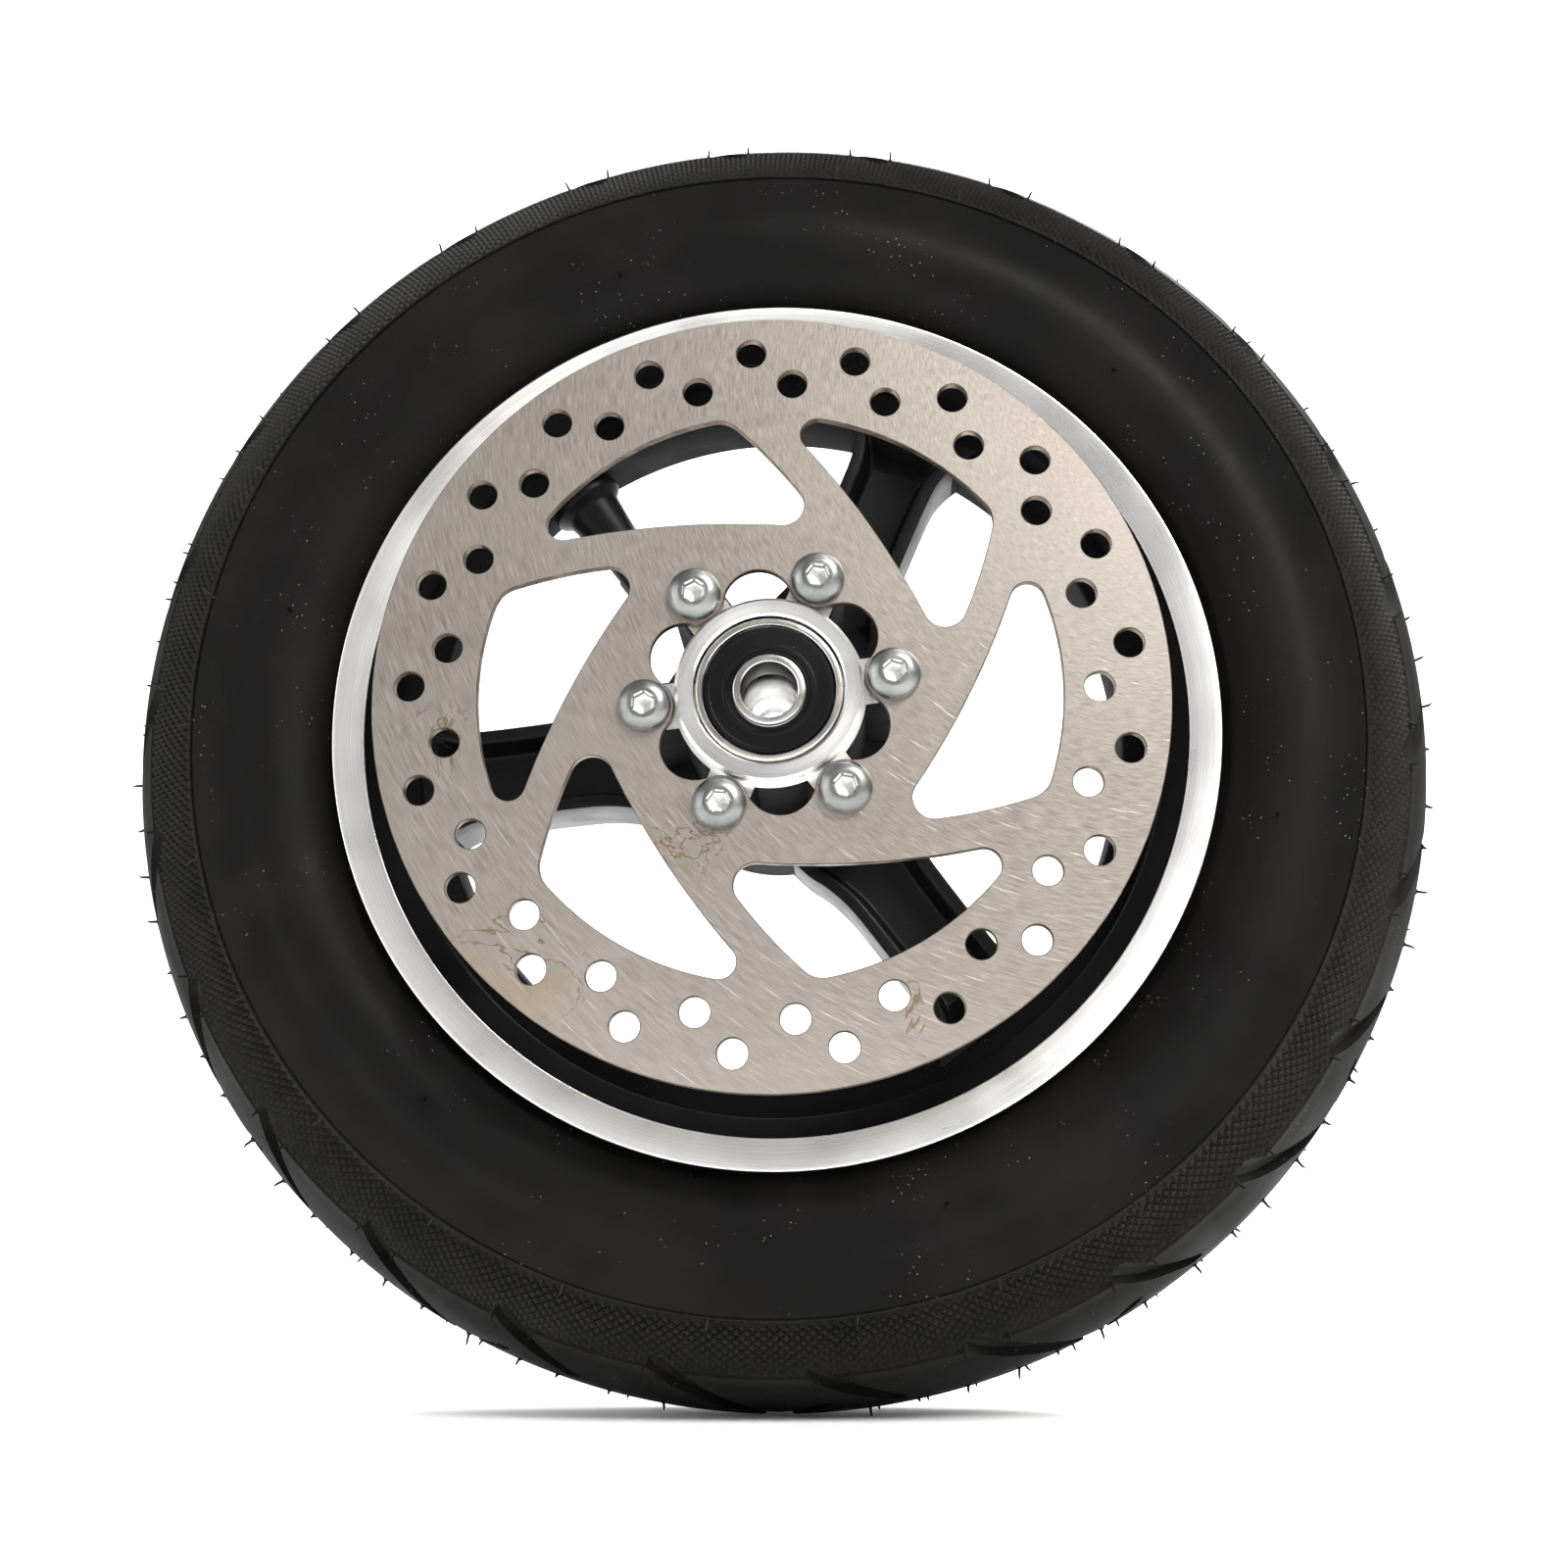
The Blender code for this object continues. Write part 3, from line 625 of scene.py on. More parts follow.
def tyre_rows():
    """The tyre's section as rows of (points for even columns, points for odd columns, columns)."""
    rows = []

    def plain(points, columns):
        rows.extend((Vector(p), Vector(p), columns) for p in points)

    bead = rounded([INSIDE_START, (76.5, -11.8), (76.5, -20), (80, -20)], [0, 0.7, 1.1, 0], 3)
    plain(bead[1:-1], MEDIUM)
    line = Vector((-0.3, -0.95)).normalized() * LINE_HEIGHT
    plain([p + line * exp(-((p.x - LINE_RADIUS) / 0.5) ** 2) for p in SIDEWALL], MEDIUM)
    plain([(107, -28.2), (107.12, -28.62), (107.45, -28.66), (107.62, -28.3)], MEDIUM)
    lengths = length_along(KNURL_EDGE)
    step = lengths[-1] / KNURL_STEPS
    for j in range(KNURL_STEPS + 1):
        point, _, normal = station(KNURL_EDGE, lengths, step * j, step / 2)
        even = KNURL_PEAK if j % 2 == 1 and j < KNURL_STEPS else KNURL_VALLEY
        odd = KNURL_PEAK if j % 2 == 0 and j > 0 else KNURL_VALLEY
        rows.append((point + normal * even, point + normal * odd, FINE))
    tread = []
    for behind, point, ahead in zip(TREAD[:1] + TREAD, TREAD, TREAD[1:] + TREAD[-1:]):
        along = (ahead - behind).normalized()
        tread.append(point + Vector((along.y, -along.x)) * 0.12)
    tread[0] += Vector((0.1, 0.25))
    plain(tread + [(124.32, -0.22), (124.62, -0.08)], FINE)
    outer = rows + [(Vector((a.x, -a.y)), Vector((b.x, -b.y)), n) for a, b, n in reversed(rows)]
    inside = mirrored([INSIDE_START, (86, -19.4), (96, -23.8), (105.5, -23.6), (112.8, -17),
                       (118.6, 0)])
    return outer + [(Vector(p), Vector(p), COARSE) for p in reversed(inside)]


def tyre_sector():
    """One closed wedge of the tyre, from SECTOR_START_DEG on."""
    verts, index = [], []
    for even, odd, columns in tyre_rows():
        index.append(list(range(len(verts), len(verts) + columns + 1)))
        for i in range(columns + 1):
            point = odd if i % 2 else even
            verts.append(spot(point.x, SECTOR_START_DEG + SECTOR_DEG * i / columns, point.y))
    faces = []
    for ring, after in zip(index, index[1:] + index[:1]):
        if len(ring) == len(after):
            for i in range(len(ring) - 1):
                a, b, c, d = ring[i], ring[i + 1], after[i + 1], after[i]
                if len(ring) != FINE + 1:
                    faces.append((a, b, c, d))
                elif height(verts[a]) + height(verts[c]) < height(verts[b]) + height(verts[d]) - 0.01:
                    faces += [(a, b, c), (a, c, d)]
                else:
                    faces += [(a, b, d), (b, c, d)]
            continue
        few, many = (ring, after) if len(ring) < len(after) else (after, ring)
        step = (len(many) - 1) // (len(few) - 1)
        middle = step // 2
        for i in range(len(few) - 1):
            for j in range(step):
                corner = few[i] if j < middle else few[i + 1]
                faces.append((corner, many[i * step + j], many[i * step + j + 1]))
            faces.append((few[i], few[i + 1], many[i * step + middle]))
    faces.append(tuple(ring[0] for ring in index))
    faces.append(tuple(ring[-1] for ring in index)[::-1])
    shape = Shape()
    shape.add(verts, faces)
    return shape.build("tyre_casing", [TYRE])


def height(point):
    """How far a point of the shoulder stands out, to tell a knurl's peaks from its valleys."""
    return hypot(point[0], point[2]) + abs(point[1])


CROWN = TREAD + [Vector((p.x, -p.y)) for p in reversed(TREAD)]
SHOULDER_PATH = smooth_through(SHOULDER, 6)
GROOVE_PATH = SHOULDER_PATH[:-1] + CROWN
GROOVE_LENGTHS = length_along(GROOVE_PATH)
TREAD_EDGE_S = length_along(SHOULDER_PATH)[-1]


def taper(distance, length, least):
    """From nearly 0 at a rounded end to 1 at length from it, along a quarter circle."""
    return sqrt(max(least, 1 - (1 - min(1, distance / length)) ** 2))


def groove(start_deg, reach, side, wide=5, tip=2.8, depth=1.9):
    """A cutter for a curved slot from the knurl over the tread. side is -1 in front and 1 at the rear."""
    start_s = TREAD_EDGE_S - GROOVE_START_S
    sections = []
    for k in range(GROOVE_STATIONS + 1):
        t = k / GROOVE_STATIONS
        run = reach * t
        centre, across, out = station(GROOVE_PATH, GROOVE_LENGTHS, start_s + run, 0.6)
        degrees = start_deg + GROOVE_SLOPE * run * (0.86 + 0.14 * min(1, run / 12))
        turn_mm = radians(GROOVE_SLOPE) * centre.x
        sideways = Vector((-across.x * turn_mm, -across.y * turn_mm, 1)).normalized()
        half = (wide + (tip - wide) * t) / 2 * taper(run, 1.4, 0.02) * taper(reach - run, 1, 0.03)
        wall = [(half * 1.12, 1.1), (half * 0.80, -depth * 0.8), (half * 0.45, -depth)]
        section = []
        for offset, rise in wall + [(-offset, rise) for offset, rise in reversed(wall)]:
            local = centre.to_3d() + out.to_3d() * rise + sideways * offset
            spun = turn([(local.x, local.z)], degrees)
            section += level(spun, local.y * -side)
        sections.append(section)
    cutter = Shape()
    cutter.loft(sections)
    return cutter.build("groove", [])


def make_tyre():
    """One wedge with its grooves, repeated round the wheel and welded."""
    wedge = tyre_sector()
    for start_deg, reach in GROOVES:
        for side in (-1, 1):
            cut(wedge, groove(start_deg, reach, side), 'DIFFERENCE')
    bm = bmesh.new()
    bm.from_mesh(wedge.data)

    def on_cap(face):
        """Whether a face lies in one of the wedge's two end planes."""
        for limit in (SECTOR_START_DEG, SECTOR_START_DEG + SECTOR_DEG):
            across = spot(1, limit + 90)
            if all(abs(v.co.dot(across)) < 2e-6 and v.co.dot(spot(1, limit)) > 0 for v in face.verts):
                return True
        return False

    bmesh.ops.delete(bm, geom=[face for face in bm.faces if on_cap(face)], context='FACES')
    loose = [edge for edge in bm.edges if not edge.link_faces]
    bmesh.ops.delete(bm, geom=loose, context='EDGES')
    sector = bm.verts[:] + bm.edges[:] + bm.faces[:]
    for number in range(1, TURNS):
        copied = bmesh.ops.duplicate(bm, geom=sector)
        verts = [item for item in copied["geom"] if isinstance(item, bmesh.types.BMVert)]
        bmesh.ops.rotate(bm, verts=verts, cent=(0, 0, 0),
                         matrix=Matrix.Rotation(radians(-SECTOR_DEG * number), 3, 'Y'))
    bmesh.ops.remove_doubles(bm, verts=bm.verts, dist=4e-6)
    bmesh.ops.recalc_face_normals(bm, faces=bm.faces)
    bm.to_mesh(wedge.data)
    bm.free()
    shade(wedge.data, 24)
    return wedge


def whisker(shape, rng, foot, out, along, length, radius, base):
    """A mould-vent hair: a thin bent cone that leaves the surface at foot, base wider there."""
    lean = (out + along * rng.uniform(-0.35, 0.35)).normalized()
    side = lean.cross(along).normalized()
    other = lean.cross(side).normalized()
    sections = []
    for rise, width in ((-0.4, radius + base), (0.15, radius + base * 0.5), (0.45, radius),
                        (length * 0.75, radius * 0.8), (length, radius * 0.35)):
        centre = foot + lean * rise + along * (0.05 * rise * rise * rng.uniform(-1, 1))
        sections.append([centre + side * p.x + other * p.y for p in circle((0, 0), width, 7)])
    shape.loft(sections)


def make_whiskers():
    """The vent hairs at the crown, the tread's edge, the ridge and the sidewalls."""
    rng = random.Random(11)
    shape = Shape()

    def plant(radius, y, degrees, tilt, length, thick, base=0):
        """One hair, tilted sideways from the radius by tilt radians."""
        out = spot(cos(tilt), degrees, sin(tilt))
        whisker(shape, rng, spot(radius, degrees, y), out, spot(1, degrees + 90), length, thick, base)

    for side in (-1, 1):
        for i in range(CROWN_HAIRS):
            degrees = 3 + 360 / CROWN_HAIRS * i + (1.2 if side > 0 else 0) + rng.uniform(-0.5, 0.5)
            if abs(degrees % 360 - 270) < 6:      # none under the wheel, where it stands
                continue
            plant(123.95, 3.6 * side, degrees, 0.1 * side, rng.choice((1, 1.6, 2.3)), 0.27, 0.62)
        for i in range(2 * TURNS):
            start = GROOVES[0][0] + SECTOR_DEG / 2 * i
            for offset in (-0.5, 3.4):
                plant(117.2, 19.5 * side, start + offset, 0.75 * side, rng.uniform(1.5, 2.3), 0.24, 0.25)
            degrees = start + 4.6 + rng.uniform(-0.7, 0.7)
            plant(107.5, 28.4 * side, degrees, 0.55 * side, rng.uniform(1.7, 2.4), 0.32)
        for degrees in (46, 108.5, 167, 228.5, 289, 348):
            plant(92.5, 27.2 * side, degrees, 1.35 * side, rng.uniform(1, 1.6), 0.3)
        for degrees in (15.5, 78, 153, 260, 315):
            plant(83.6, 22.5 * side, degrees, 0.9 * side, rng.uniform(0.9, 1.3), 0.3)
    return shape.build("tyre_vent_hairs", [TYRE], 60)


# ---- rim

# Radius and half width along a spoke.
SPOKE_STATIONS = [(13.5, 13), (19, 12.3), (25, 11.4), (29, 10), (34, 9), (41, 8.7),
                  (56, 8.7), (61, 9.5), (65, 11.4), (68.4, 13.8)]
SPOKE_FRONT, SPOKE_BACK = -9.6, 7.4
RIB_WIDTH = 2.6
POCKET_DEPTH, POCKET_START, POCKET_END = 6.6, 24, 64.5    # the hollow between a spoke's ribs
SEAT = 13.3                     # radius of the pockets that the bearings sit in


def spoke_section(radius, half, degrees):
    """One section across a spoke: a web between two rounded side ribs, front and rear."""
    pocket = 0
    if POCKET_START < radius < POCKET_END:
        pocket = POCKET_DEPTH * min(1, (radius - POCKET_START) / 4.5, (POCKET_END - radius) / 4)
        pocket = max(pocket, 0.02)
    inner = max(half - RIB_WIDTH, 2)
    left = [(-half, 0.2), (-half + 0.3, 0), (-inner, 0), (-inner + 1, pocket)]
    across = left + [(-x, depth) for x, depth in reversed(left)]
    corners = [(x, SPOKE_FRONT + depth) for x, depth in across]
    corners += [(x, SPOKE_BACK - depth) for x, depth in reversed(across)]
    outline = rounded(corners, [0.5, 0.5, 0.9, 1, 1, 0.9, 0.5, 0.5] * 2, 3)
    return [spot(radius, degrees, p.y) + spot(p.x, degrees + 90) for p in outline]


def make_rim():
    """One casting: barrel, hub, three channel spokes and six screw bosses. Machined faces use slot 1."""
    outer = mirrored([(76.3, -23.3), (82.1, -24), (82.2, -22.4), (80, -20.6), (76.2, -20.3),
                      (76.2, -11.6), (70, -8.9)])
    inner = mirrored([(72.5, -19.5), (72.5, -10.9), (66, -7.9)])
    radii = [0.3, 0.35, 0.4, 0.4, 0.4, 1.2, 1.5]
    radii += radii[::-1] + [0.6, 1.5, 2, 2, 1.5, 0.6]
    rim = turned("rim_casting", [PAINT], 30, rounded(outer + inner[::-1], radii, 4), 240)

    profile = [(16, -45.5), (16.5, -45), (16.5, -41.9), (17, -41.9), (17, -17), (24, -8.4),
               (24, 6.4), (17, 13), (17, 30.1), (16.5, 30.6), (13.7, 30.6), (SEAT, 30.2),
               (SEAT, SPACER_REAR), (11, SPACER_REAR), (11, SPACER_FRONT), (SEAT, SPACER_FRONT),
               (SEAT, -45.1), (13.7, -45.5)]
    corner = [0, 0, 0, 0, 2.5, 1.5, 1.5, 2.5, 0, 0, 0, 0, 0, 0.3, 0.3, 0, 0, 0]
    cut(rim, turned("hub", [], 32, rounded(profile, corner, 4), 144), 'UNION')

    spokes = Shape()
    for degrees in SPOKE_DEGS:
        line = smooth_through(SPOKE_STATIONS, 3)
        spokes.loft([spoke_section(p.x, p.y, degrees) for p in line])
    cut(rim, spokes.build("spokes", []), 'UNION')

    bosses = Shape()
    for degrees in SCREW_DEGS:
        outline = arc((SCREW_CIRCLE, 0), 4.5, -90, 90, 20) + [(12.5, 4.5), (12.5, -4.5)]
        bosses.plate([turn(outline, degrees)], -41.8, -7.6, 0.4)
    cut(rim, bosses.build("bosses", []), 'UNION')

    drills = Shape()
    for degrees in SCREW_DEGS:
        drills.plate([circle(polar(SCREW_CIRCLE, degrees), SCREW_HOLE, 32)], -50, -31.4, 0.01)
    drills.lathe([(0, 60), (5.8, 60), (5.8, 80), (0, 80)], 40, place=on_radius(VALVE_DEG))
    cut(rim, drills.build("drills", []), 'DIFFERENCE', 30)

    rim.data.materials.clear()
    for look in (PAINT, MACHINED, MATT_PAINT):
        rim.data.materials.append(look)
    for face in rim.data.polygons:
        x, y, z = face.center / MM
        radius = hypot(x, z)
        flange = radius > 76.2 and abs(y) > 22.3 and abs(face.normal.y) > 0.35
        spigot = 13 < radius < 16.6 and (y < -41.85 or y > 30)
        pad = y < -41.7 and radius < 30
        bore = radius < SEAT + 0.05
        outward = (face.normal.x * x + face.normal.z * z) / radius
        barrel_wall = radius > 64 and outward < -0.3
        hub_wall = radius < 25 and abs(face.normal.y) < 0.5
        face.material_index = 1 if flange or spigot or pad or bore else 2 if barrel_wall or hub_wall else 0
    return rim


# ---- brake disc

DISC_RADIUS, DISC_FRONT, DISC_BACK = 70, -44, -42.1
HOLES = 21                      # in each of the disc's two rows
SCALLOP_CIRCLE = 16.1           # radius of the circle that the inside edge's scallops stand on


def window_outline():
    """One swept window: three large arcs, joined by the smaller arcs of its rounded corners."""
    middle = (0, 0)
    outer_r, top_r, side_r, tip_r = 51.3, 3, 4.9, 3.8
    lead, lead_r, trail, trail_r = Vector((-107.2, -52.5)), 150, Vector((-48.4, 48.9)), 90
    top = circles_meet(middle, outer_r - top_r, lead, lead_r + top_r, (9, 47))
    side = circles_meet(middle, outer_r - side_r, trail, trail_r - side_r, (34, 31))
    tip = circles_meet(lead, lead_r + tip_r, trail, trail_r - tip_r, (31, 15))

    def touch(centre, radius, corner):
        return Vector(centre) + (corner - Vector(centre)).normalized() * radius

    touches = [touch(middle, outer_r, side), touch(trail, trail_r, side), touch(trail, trail_r, tip),
               touch(lead, lead_r, tip), touch(lead, lead_r, top), touch(middle, outer_r, top)]
    arcs = ((middle, outer_r, 24), (side, side_r, 14), (trail, trail_r, 12), (tip, tip_r, 18),
            (lead, lead_r, 14), (top, top_r, 14))
    outline = []
    for i, (centre, radius, steps) in enumerate(arcs):
        outline += arc_between(centre, radius, touches[i - 1], touches[i], steps)[:-1]
    return outline


def disc_opening():
    """The disc's inside edge: a lobe round each screw and a scallop between two screws."""
    screw, scallop, scallop_r = polar(SCREW_CIRCLE, 0), polar(SCALLOP_CIRCLE, 30), 6.2
    lobe_r = (scallop - screw).length - scallop_r
    lobe_turn = 180 - bearing_deg(screw, scallop)
    scallop_turn = abs(bearing_deg(scallop, screw) - 30)
    outline = []
    for degrees in SCREW_DEGS:
        outline += turn(arc(screw, lobe_r, 180 + lobe_turn, 180 - lobe_turn, 14, skip_last=True), degrees)
        edge = arc(polar(SCALLOP_CIRCLE, 0), scallop_r, -scallop_turn, scallop_turn, 26, skip_last=True)
        outline += turn(edge, degrees + 30)
    return outline


def make_disc():
    """The drilled brake disc, with a small chamfer on every edge."""
    outlines = [circle((0, 0), DISC_RADIUS, 300), disc_opening()]
    for radius, first_deg in ((63.4, 93.05), (57.5, 85.95)):
        outlines += [circle(polar(radius, first_deg + 360 / HOLES * i), 2.65, 36) for i in range(HOLES)]
    outlines += [circle(polar(SCREW_CIRCLE, degrees), SCREW_HOLE, 24) for degrees in SCREW_DEGS]
    outlines += [turn(window_outline(), 60 * i) for i in range(6)]
    disc = Shape()
    disc.plate(outlines, DISC_FRONT, DISC_BACK, 0.16, edge_slot=1)
    return disc.build("brake_disc", [DISC, DISC_EDGE], 25)


# ---- screws, bearings, spacer, valve

THREAD_PITCH = 0.8
BALLS, BALL_RADIUS = 7, 2.38


def make_screw(number, degrees):
    """Button-head screw with a flat top, a hexagon socket and a thread's crests on the shank."""
    steps = 48
    rings = [(1.9, -32), (2.1, -32.15), (2.45, -32.6)]
    for i in range(13):
        y = -33 - THREAD_PITCH * i
        rings += [(2.42, y), (2.42, y - 0.1), (2.02, y - 0.4), (2.02, y - 0.5)]
    rings += [(2.45, -43.9), (2.45, -44.3), (4.5, -44.3), (4.7, -44.45), (4.72, -44.8)]
    dome = smooth_through([(4.7, -44.95), (4.52, -45.4), (4.12, -45.95), (3.5, -46.42), (3, -46.66)], 3)
    rings += [(p.x, p.y) for p in dome] + [(2.8, -46.76), (2.65, -46.8)]
    loops = [level(circle((0, 0), radius, steps), y) for radius, y in rings]
    for flats, y in ((2.02, -46.8), (1.72, -46.5), (1.66, -45.45), (1.35, -45.3)):
        angles = [360 / steps * i for i in range(steps)]
        loops.append(level([polar(flats / cos(radians(a % 60 - 30)), a) for a in angles], y))
    loops.append(level(circle((0, 0), 0.25, steps), -45.15))
    shape = Shape()
    shape.loft(loops)
    screw = shape.build(f"disc_screw_{number}", [ZINC, SOCKET], 28)
    for face in screw.data.polygons:
        x, y, z = face.center / MM
        if hypot(x, z) < 2 and (y < -46.4 or -45.5 < y < -45.1):      # the socket's lip and floor
            face.material_index = 1
    turned_by = Matrix.Rotation(radians(17 * number * number % 60), 4, 'Y')
    screw.data.transform(Matrix.Translation(spot(SCREW_CIRCLE * MM, degrees)) @ turned_by)
    return screw


def half_circle(radius):
    """The outline from which a ball is turned."""
    return [(0, -radius)] + [tuple(polar(radius, a)) for a in range(-80, 90, 10)] + [(0, radius)]


def make_bearing(side, middle_y, outer_body, inner_body, ball_body):
    """A sealed ball bearing: two rings, two lipped seals, seven balls and their cage."""
    sign = -1 if side == "front" else 1
    outside = [(11.75, -3.85), (11.9, -4), (12.55, -4), (12.78, -3.9), (12.98, -3.68), (13, -3.5)]
    track = [(11.7, -2.9), (11, -2.6), (11, -2.1), (11.35, -1.35), (11.62, -0.7), (11.7, 0)]
    profile = mirrored(outside) + mirrored(track)[::-1]
    outer = turned(f"{side}_outer_ring", [RACE], 35, profile, 120, offset_y=middle_y)
    place(outer, outer_body, "bearing_steel", f"{side}_bearing_outer_ring")

    bore_side = [(5.25, -4), (5.05, -3.85), (5, -3.65)]
    face_side = [(6.1, -4), (6.3, -3.9), (6.35, -3.75), (6.35, -2.9), (7.3, -2.6), (7.3, -2),
                 (6.75, -1.4), (6.42, -0.7), (6.35, 0)]
    profile = mirrored(face_side) + mirrored(bore_side)[::-1]
    inner = turned(f"{side}_inner_ring", [RACE, BORE_PAINTED_SHADE], 35, profile, 96, offset_y=middle_y)
    # The bore's faces take slot 1, the near-black look: painted shade inside the bore.
    for face in inner.data.polygons:
        if hypot(face.center.x, face.center.z) < 5.08 * MM:
            face.material_index = 1
    place(inner, inner_body, "bearing_steel", f"{side}_bearing_inner_ring")

    outline = [(6.65, 3.05), (11.4, 3.05), (11.42, 3.45), (11.25, 3.62), (10.7, 3.66), (10.45, 3.56),
               (8.35, 3.56), (8.05, 3.72), (7.65, 3.74), (7.35, 3.5), (7.2, 3.28), (6.95, 3.3), (6.75, 3.42),
               (6.62, 3.3)]
    for label, way in (("outer_seal", sign), ("inner_seal", -sign)):
        profile = rounded([(r, y * way) for r, y in outline], 0.12, 3)
        seal = turned(f"{side}_{label}", [SEAL], 40, profile, 120, offset_y=middle_y)
        place(seal, outer_body, "seal_rubber", f"{side}_bearing_{label}")

    profile = rounded([(8.2, -1.1), (9.8, -1.1), (9.8, 2.95), (8.2, 2.95)], 0.2, 2)
    cage = turned(f"{side}_ball_cage", [CAGE], 35, profile, 112, offset_y=middle_y)
    pockets = Shape()
    for number in range(1, BALLS + 1):
        there = Matrix.Translation(spot(9, 90 + 360 / BALLS * number, middle_y))
        pockets.lathe(half_circle(BALL_RADIUS + 0.22), 32, place=there)
        ball = turned(f"{side}_ball_{number}", [BALL], 180, half_circle(BALL_RADIUS), 32, place=there)
        place(ball, ball_body, "bearing_steel", f"{side}_bearing_ball_{number}")
    cut(cage, pockets.build("pockets", []), 'DIFFERENCE')
    place(cage, ball_body, "cage_steel", f"{side}_bearing_cage")


def make_spacer():
    section = [(5.1, SPACER_FRONT), (6.6, SPACER_FRONT), (6.6, SPACER_REAR), (5.1, SPACER_REAR)]
    return turned("bearing_spacer", [SPACER], 35, rounded(section, 0.25, 2), 96)


def make_valve():
    """Snap-in valve along one radius: rubber stem, brass tube, core, sprung pin and cap."""
    way = on_radius(VALVE_DEG)
    outside = sqrt(66 ** 2 - 7.4 ** 2) - 0.6
    section = [(3.3, 73), (6.4, 73), (8.2, 71.5), (8.2, 70.3), (5.5, 70.3), (5.5, outside),
               (7.4, outside), (7.4, outside - 1.4), (5.6, 62), (5, 57.5), (4.6, 54), (4.5, 48),
               (4.5, 47.2), (3.3, 47.2)]
    radii = [0, 0.6, 0.8, 0.3, 0.2, 0.2, 0.4, 0.9, 1.2, 1.5, 1.5, 0.2, 0.5, 0]
    stem = turned("valve_rubber_stem", [VALVE_RUBBER], 35, rounded(section, radii, 4), 72, place=way)

    section = [(1.9, 70), (3, 70), (3, 46.9), (3.85, 46.9)]
    for i in range(11):
        h = 46.3 - 0.74 * i
        section += [(3.85, h), (3.85, h - 0.12), (3.55, h - 0.37), (3.55, h - 0.49)]
    section += [(3.85, 38.5), (3.6, 38), (2.1, 38), (1.9, 38.2)]
    tube = turned("valve_brass_tube", [BRASS], 30, section, 48, place=way)

    section = rounded([(0.8, 52), (1.6, 52), (1.6, 39.2), (0.8, 39.2)], 0.15, 2)
    core = turned("valve_core_body", [BRASS], 30, section, 32, place=way)
    section = [(0, 53), (0.4, 53), (0.5, 52.8), (0.5, 38.6), (0.35, 38.4), (0, 38.4)]
    pin = turned("valve_spring_pin", [BRASS], 40, section, 20, place=way)

    cap = Shape()
    steps, ribs = 96, 24
    loops = []
    for radius, h, swell in ((4.15, 37.6, 0), (4.15, 46.4, 0), (4.3, 46.6, 0), (4.72, 46.6, 0),
                             (4.85, 46.4, 0), (4.85, 45.8, 0), (4.72, 45.5, 0.16), (4.72, 37.4, 0.16),
                             (4.72, 36.5, 0), (4.5, 35.75, 0), (4.2, 35.55, 0), (1, 35.5, 0)):
        loop = [polar(radius + swell * (0.5 + 0.5 * cos(tau * ribs * i / steps)), 360 / steps * i)
                for i in range(steps)]
        loops.append([way @ point for point in level(loop, h)])
    cap.loft(loops)
    return stem, tube, core, pin, cap.build("valve_dust_cap", [PLASTIC], 40)


place(make_tyre(), "wheel", "tyre", "tyre")
place(make_whiskers(), "wheel", "tyre")
place(make_rim(), "wheel", "black_casting", "rim")
place(make_disc(), "wheel", "brushed_steel", "brake_rotor")
for number, degrees in enumerate(SCREW_DEGS, start=1):
    place(make_screw(number, degrees), "wheel", "zinc_plate", f"rotor_bolt_{number}")
for side, middle_y in BEARINGS.items():
    make_bearing(side, middle_y, "wheel", "axle_sleeve", f"{side}_ball_set")
place(make_spacer(), "axle_sleeve", "aluminium", "spacer_tube")
VALVE_RIDES = (("wheel", "valve_rubber", "valve_stem"), ("wheel", "brass", "valve_tube"),
               ("wheel", "brass", "valve_core"), ("valve_pin", "brass", "valve_core_pin"),
               ("dust_cap", "black_plastic", "valve_cap"))
for piece, (body, slot_name, node) in zip(make_valve(), VALVE_RIDES):
    place(piece, body, slot_name, node)


# ---- stage

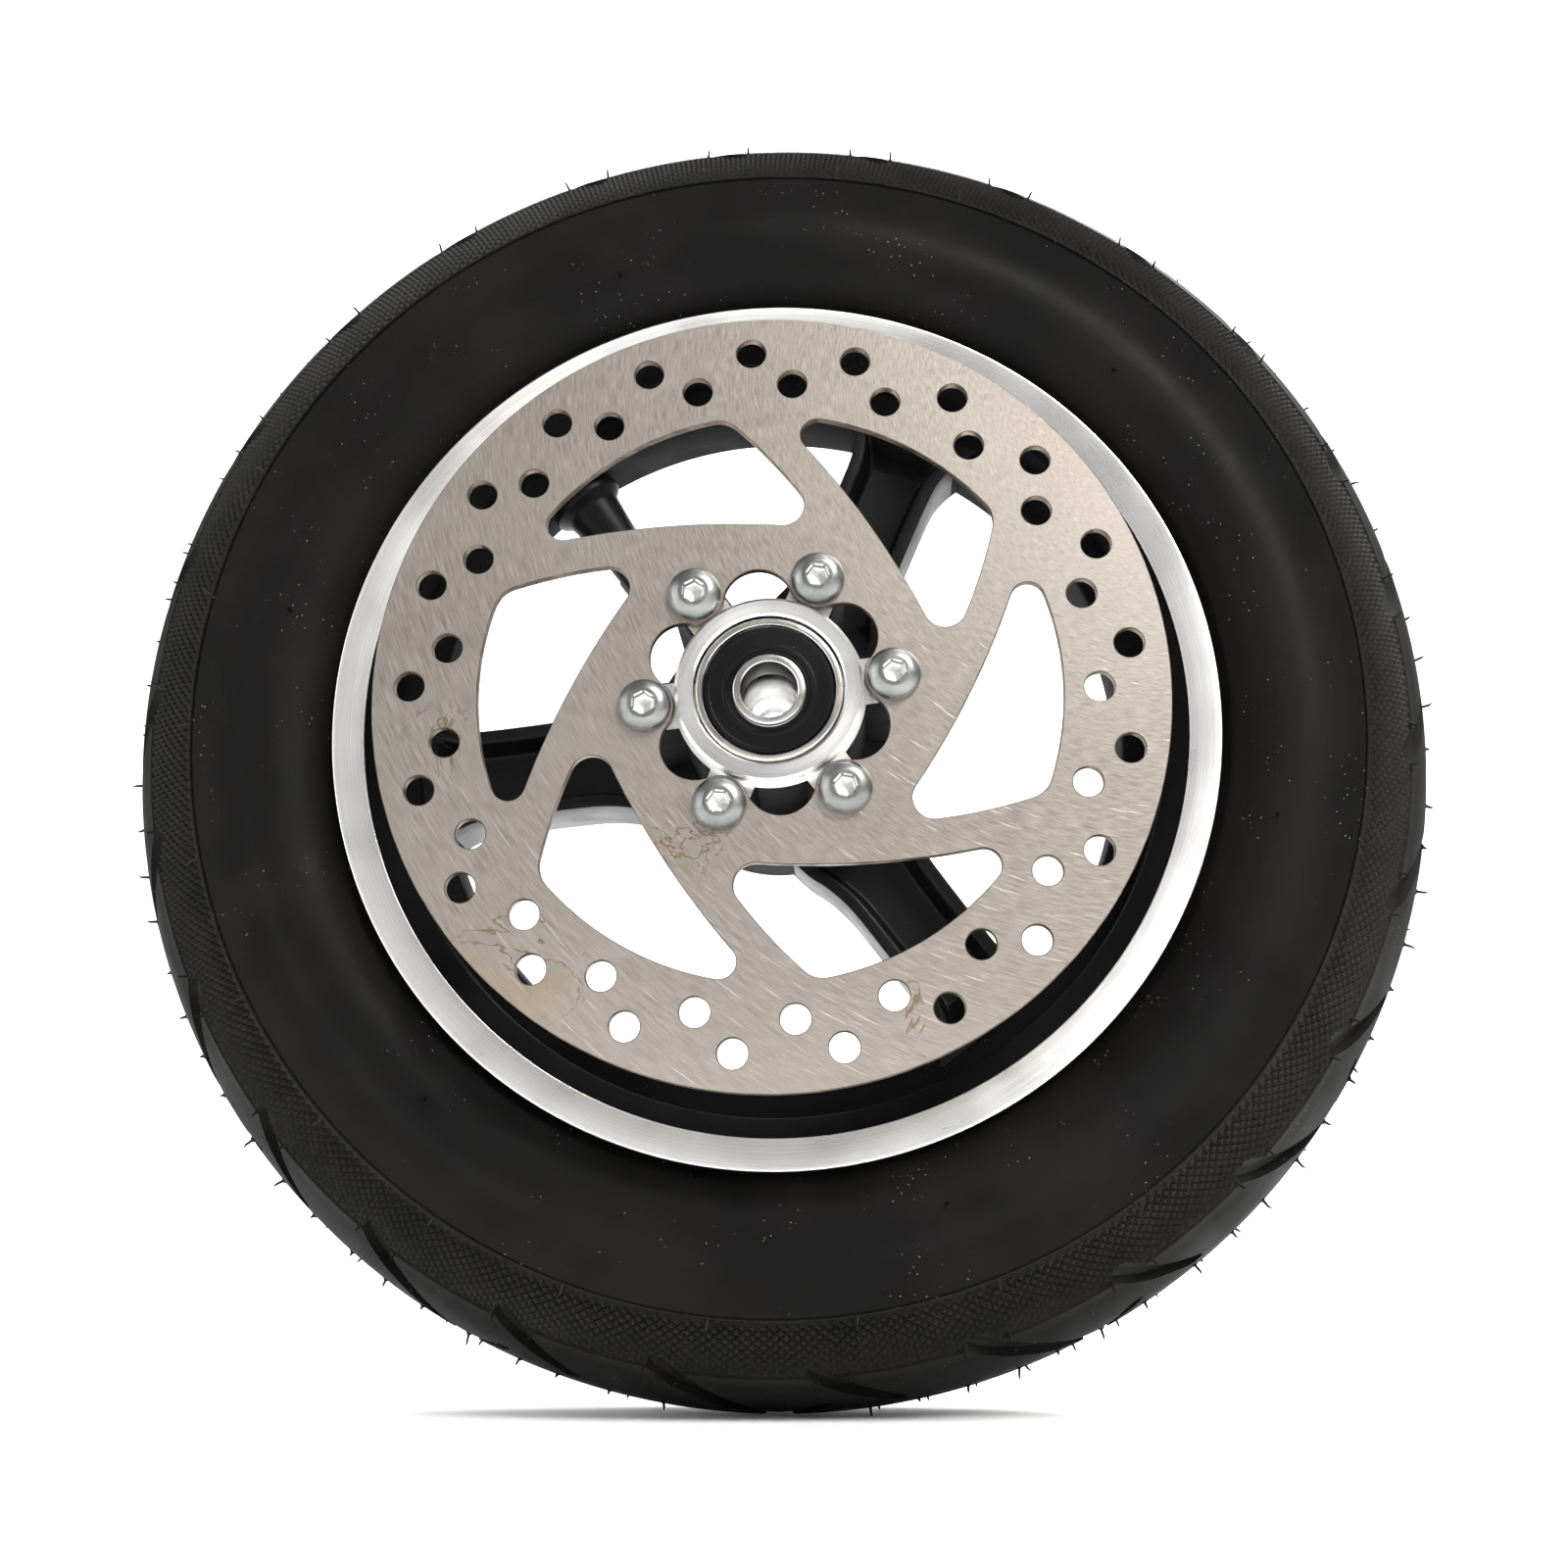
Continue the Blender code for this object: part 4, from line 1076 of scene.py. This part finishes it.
def make_stage():
    """One pale sheet: floor in front, rising behind in a wide curve."""
    floor_z = CAD_BOX[0].z - 0.0003
    reach, bend, top = 2.2, 0.9, 3
    line = [(-4, 0), (reach, 0)]
    line += [(p.x, p.y) for p in arc((reach, bend), bend, -90, 0, 24)[1:]]
    line.append((reach + bend, top))
    verts = [(x, y, floor_z + z) for y, z in line for x in (-5, 5)]
    faces = [(2 * i, 2 * i + 1, 2 * i + 3, 2 * i + 2) for i in range(len(line) - 1)]
    mesh = bpy.data.meshes.new("studio_sheet")
    mesh.from_pydata(verts, [], faces)
    mesh.shade_smooth()
    look = Look("studio_white", (0.97, 0.97, 0.97), 0.9, Specular_IOR_Level=0.1)
    look.lay(look.noise(3, 3), (0.95545, 0.95545, 0.95545))
    mesh.materials.append(look.material)
    add_object("studio_sheet", mesh)


def make_light(name, location, target, size, power, spread_deg, colour=(1, 1, 1)):
    """A square soft box aimed at a point."""
    lamp = bpy.data.lights.new(name, 'AREA')
    lamp.shape, lamp.size, lamp.size_y = 'RECTANGLE', size[0], size[1]
    lamp.energy, lamp.color, lamp.spread = power, colour, radians(spread_deg)
    made = add_object(name, lamp)
    made.location = location
    made.rotation_euler = (Vector(target) - Vector(location)).to_track_quat('-Z', 'Y').to_euler()


def make_camera():
    """The photograph's view: close, low and looking slightly up."""
    lens = bpy.data.cameras.new("camera")
    lens.sensor_fit, lens.sensor_width, lens.lens = 'HORIZONTAL', 36, 46.69
    lens.clip_start, lens.clip_end = 0.01, 50
    camera = add_object("camera", lens)
    right = Vector((0.99936, 0.03588, 0))
    forward = Vector((-0.03501, 0.97525, 0.21832))
    up = right.cross(forward)
    turned_to = Matrix((right, up, -forward)).transposed()
    camera.matrix_world = Matrix.Translation((0.0149, -0.3868, -0.0935)) @ turned_to.to_4x4()
    bpy.context.scene.camera = camera


def make_world():
    world = bpy.data.worlds.new("studio")
    world.use_nodes = True
    inputs = world.node_tree.nodes["Background"].inputs
    inputs["Color"].default_value = (0.985, 0.99, 1, 1)
    inputs["Strength"].default_value = 0.43
    bpy.context.scene.world = world


make_stage()
make_world()
make_light("key_softbox", (0.78, -1.10, 1.12), (0, 0, 0), (0.9, 0.9), 7.6, 70, (1, 0.985, 0.96))
make_light("side_softbox", (-1.3, -0.7, 0.35), (0, 0, 0), (0.9, 0.9), 2.5, 90, (0.97, 0.985, 1))
make_light("top_softbox", (0.35, 0.6, 1.5), (0, 0.1, -0.1), (1.4, 1.4), 36, 150)
make_light("backdrop_softbox", (0, 1.9, 2.4), (0, 2.6, 0), (3, 1.4), 110, 180)
make_camera()
bpy.context.scene.view_settings.view_transform = 'Standard'
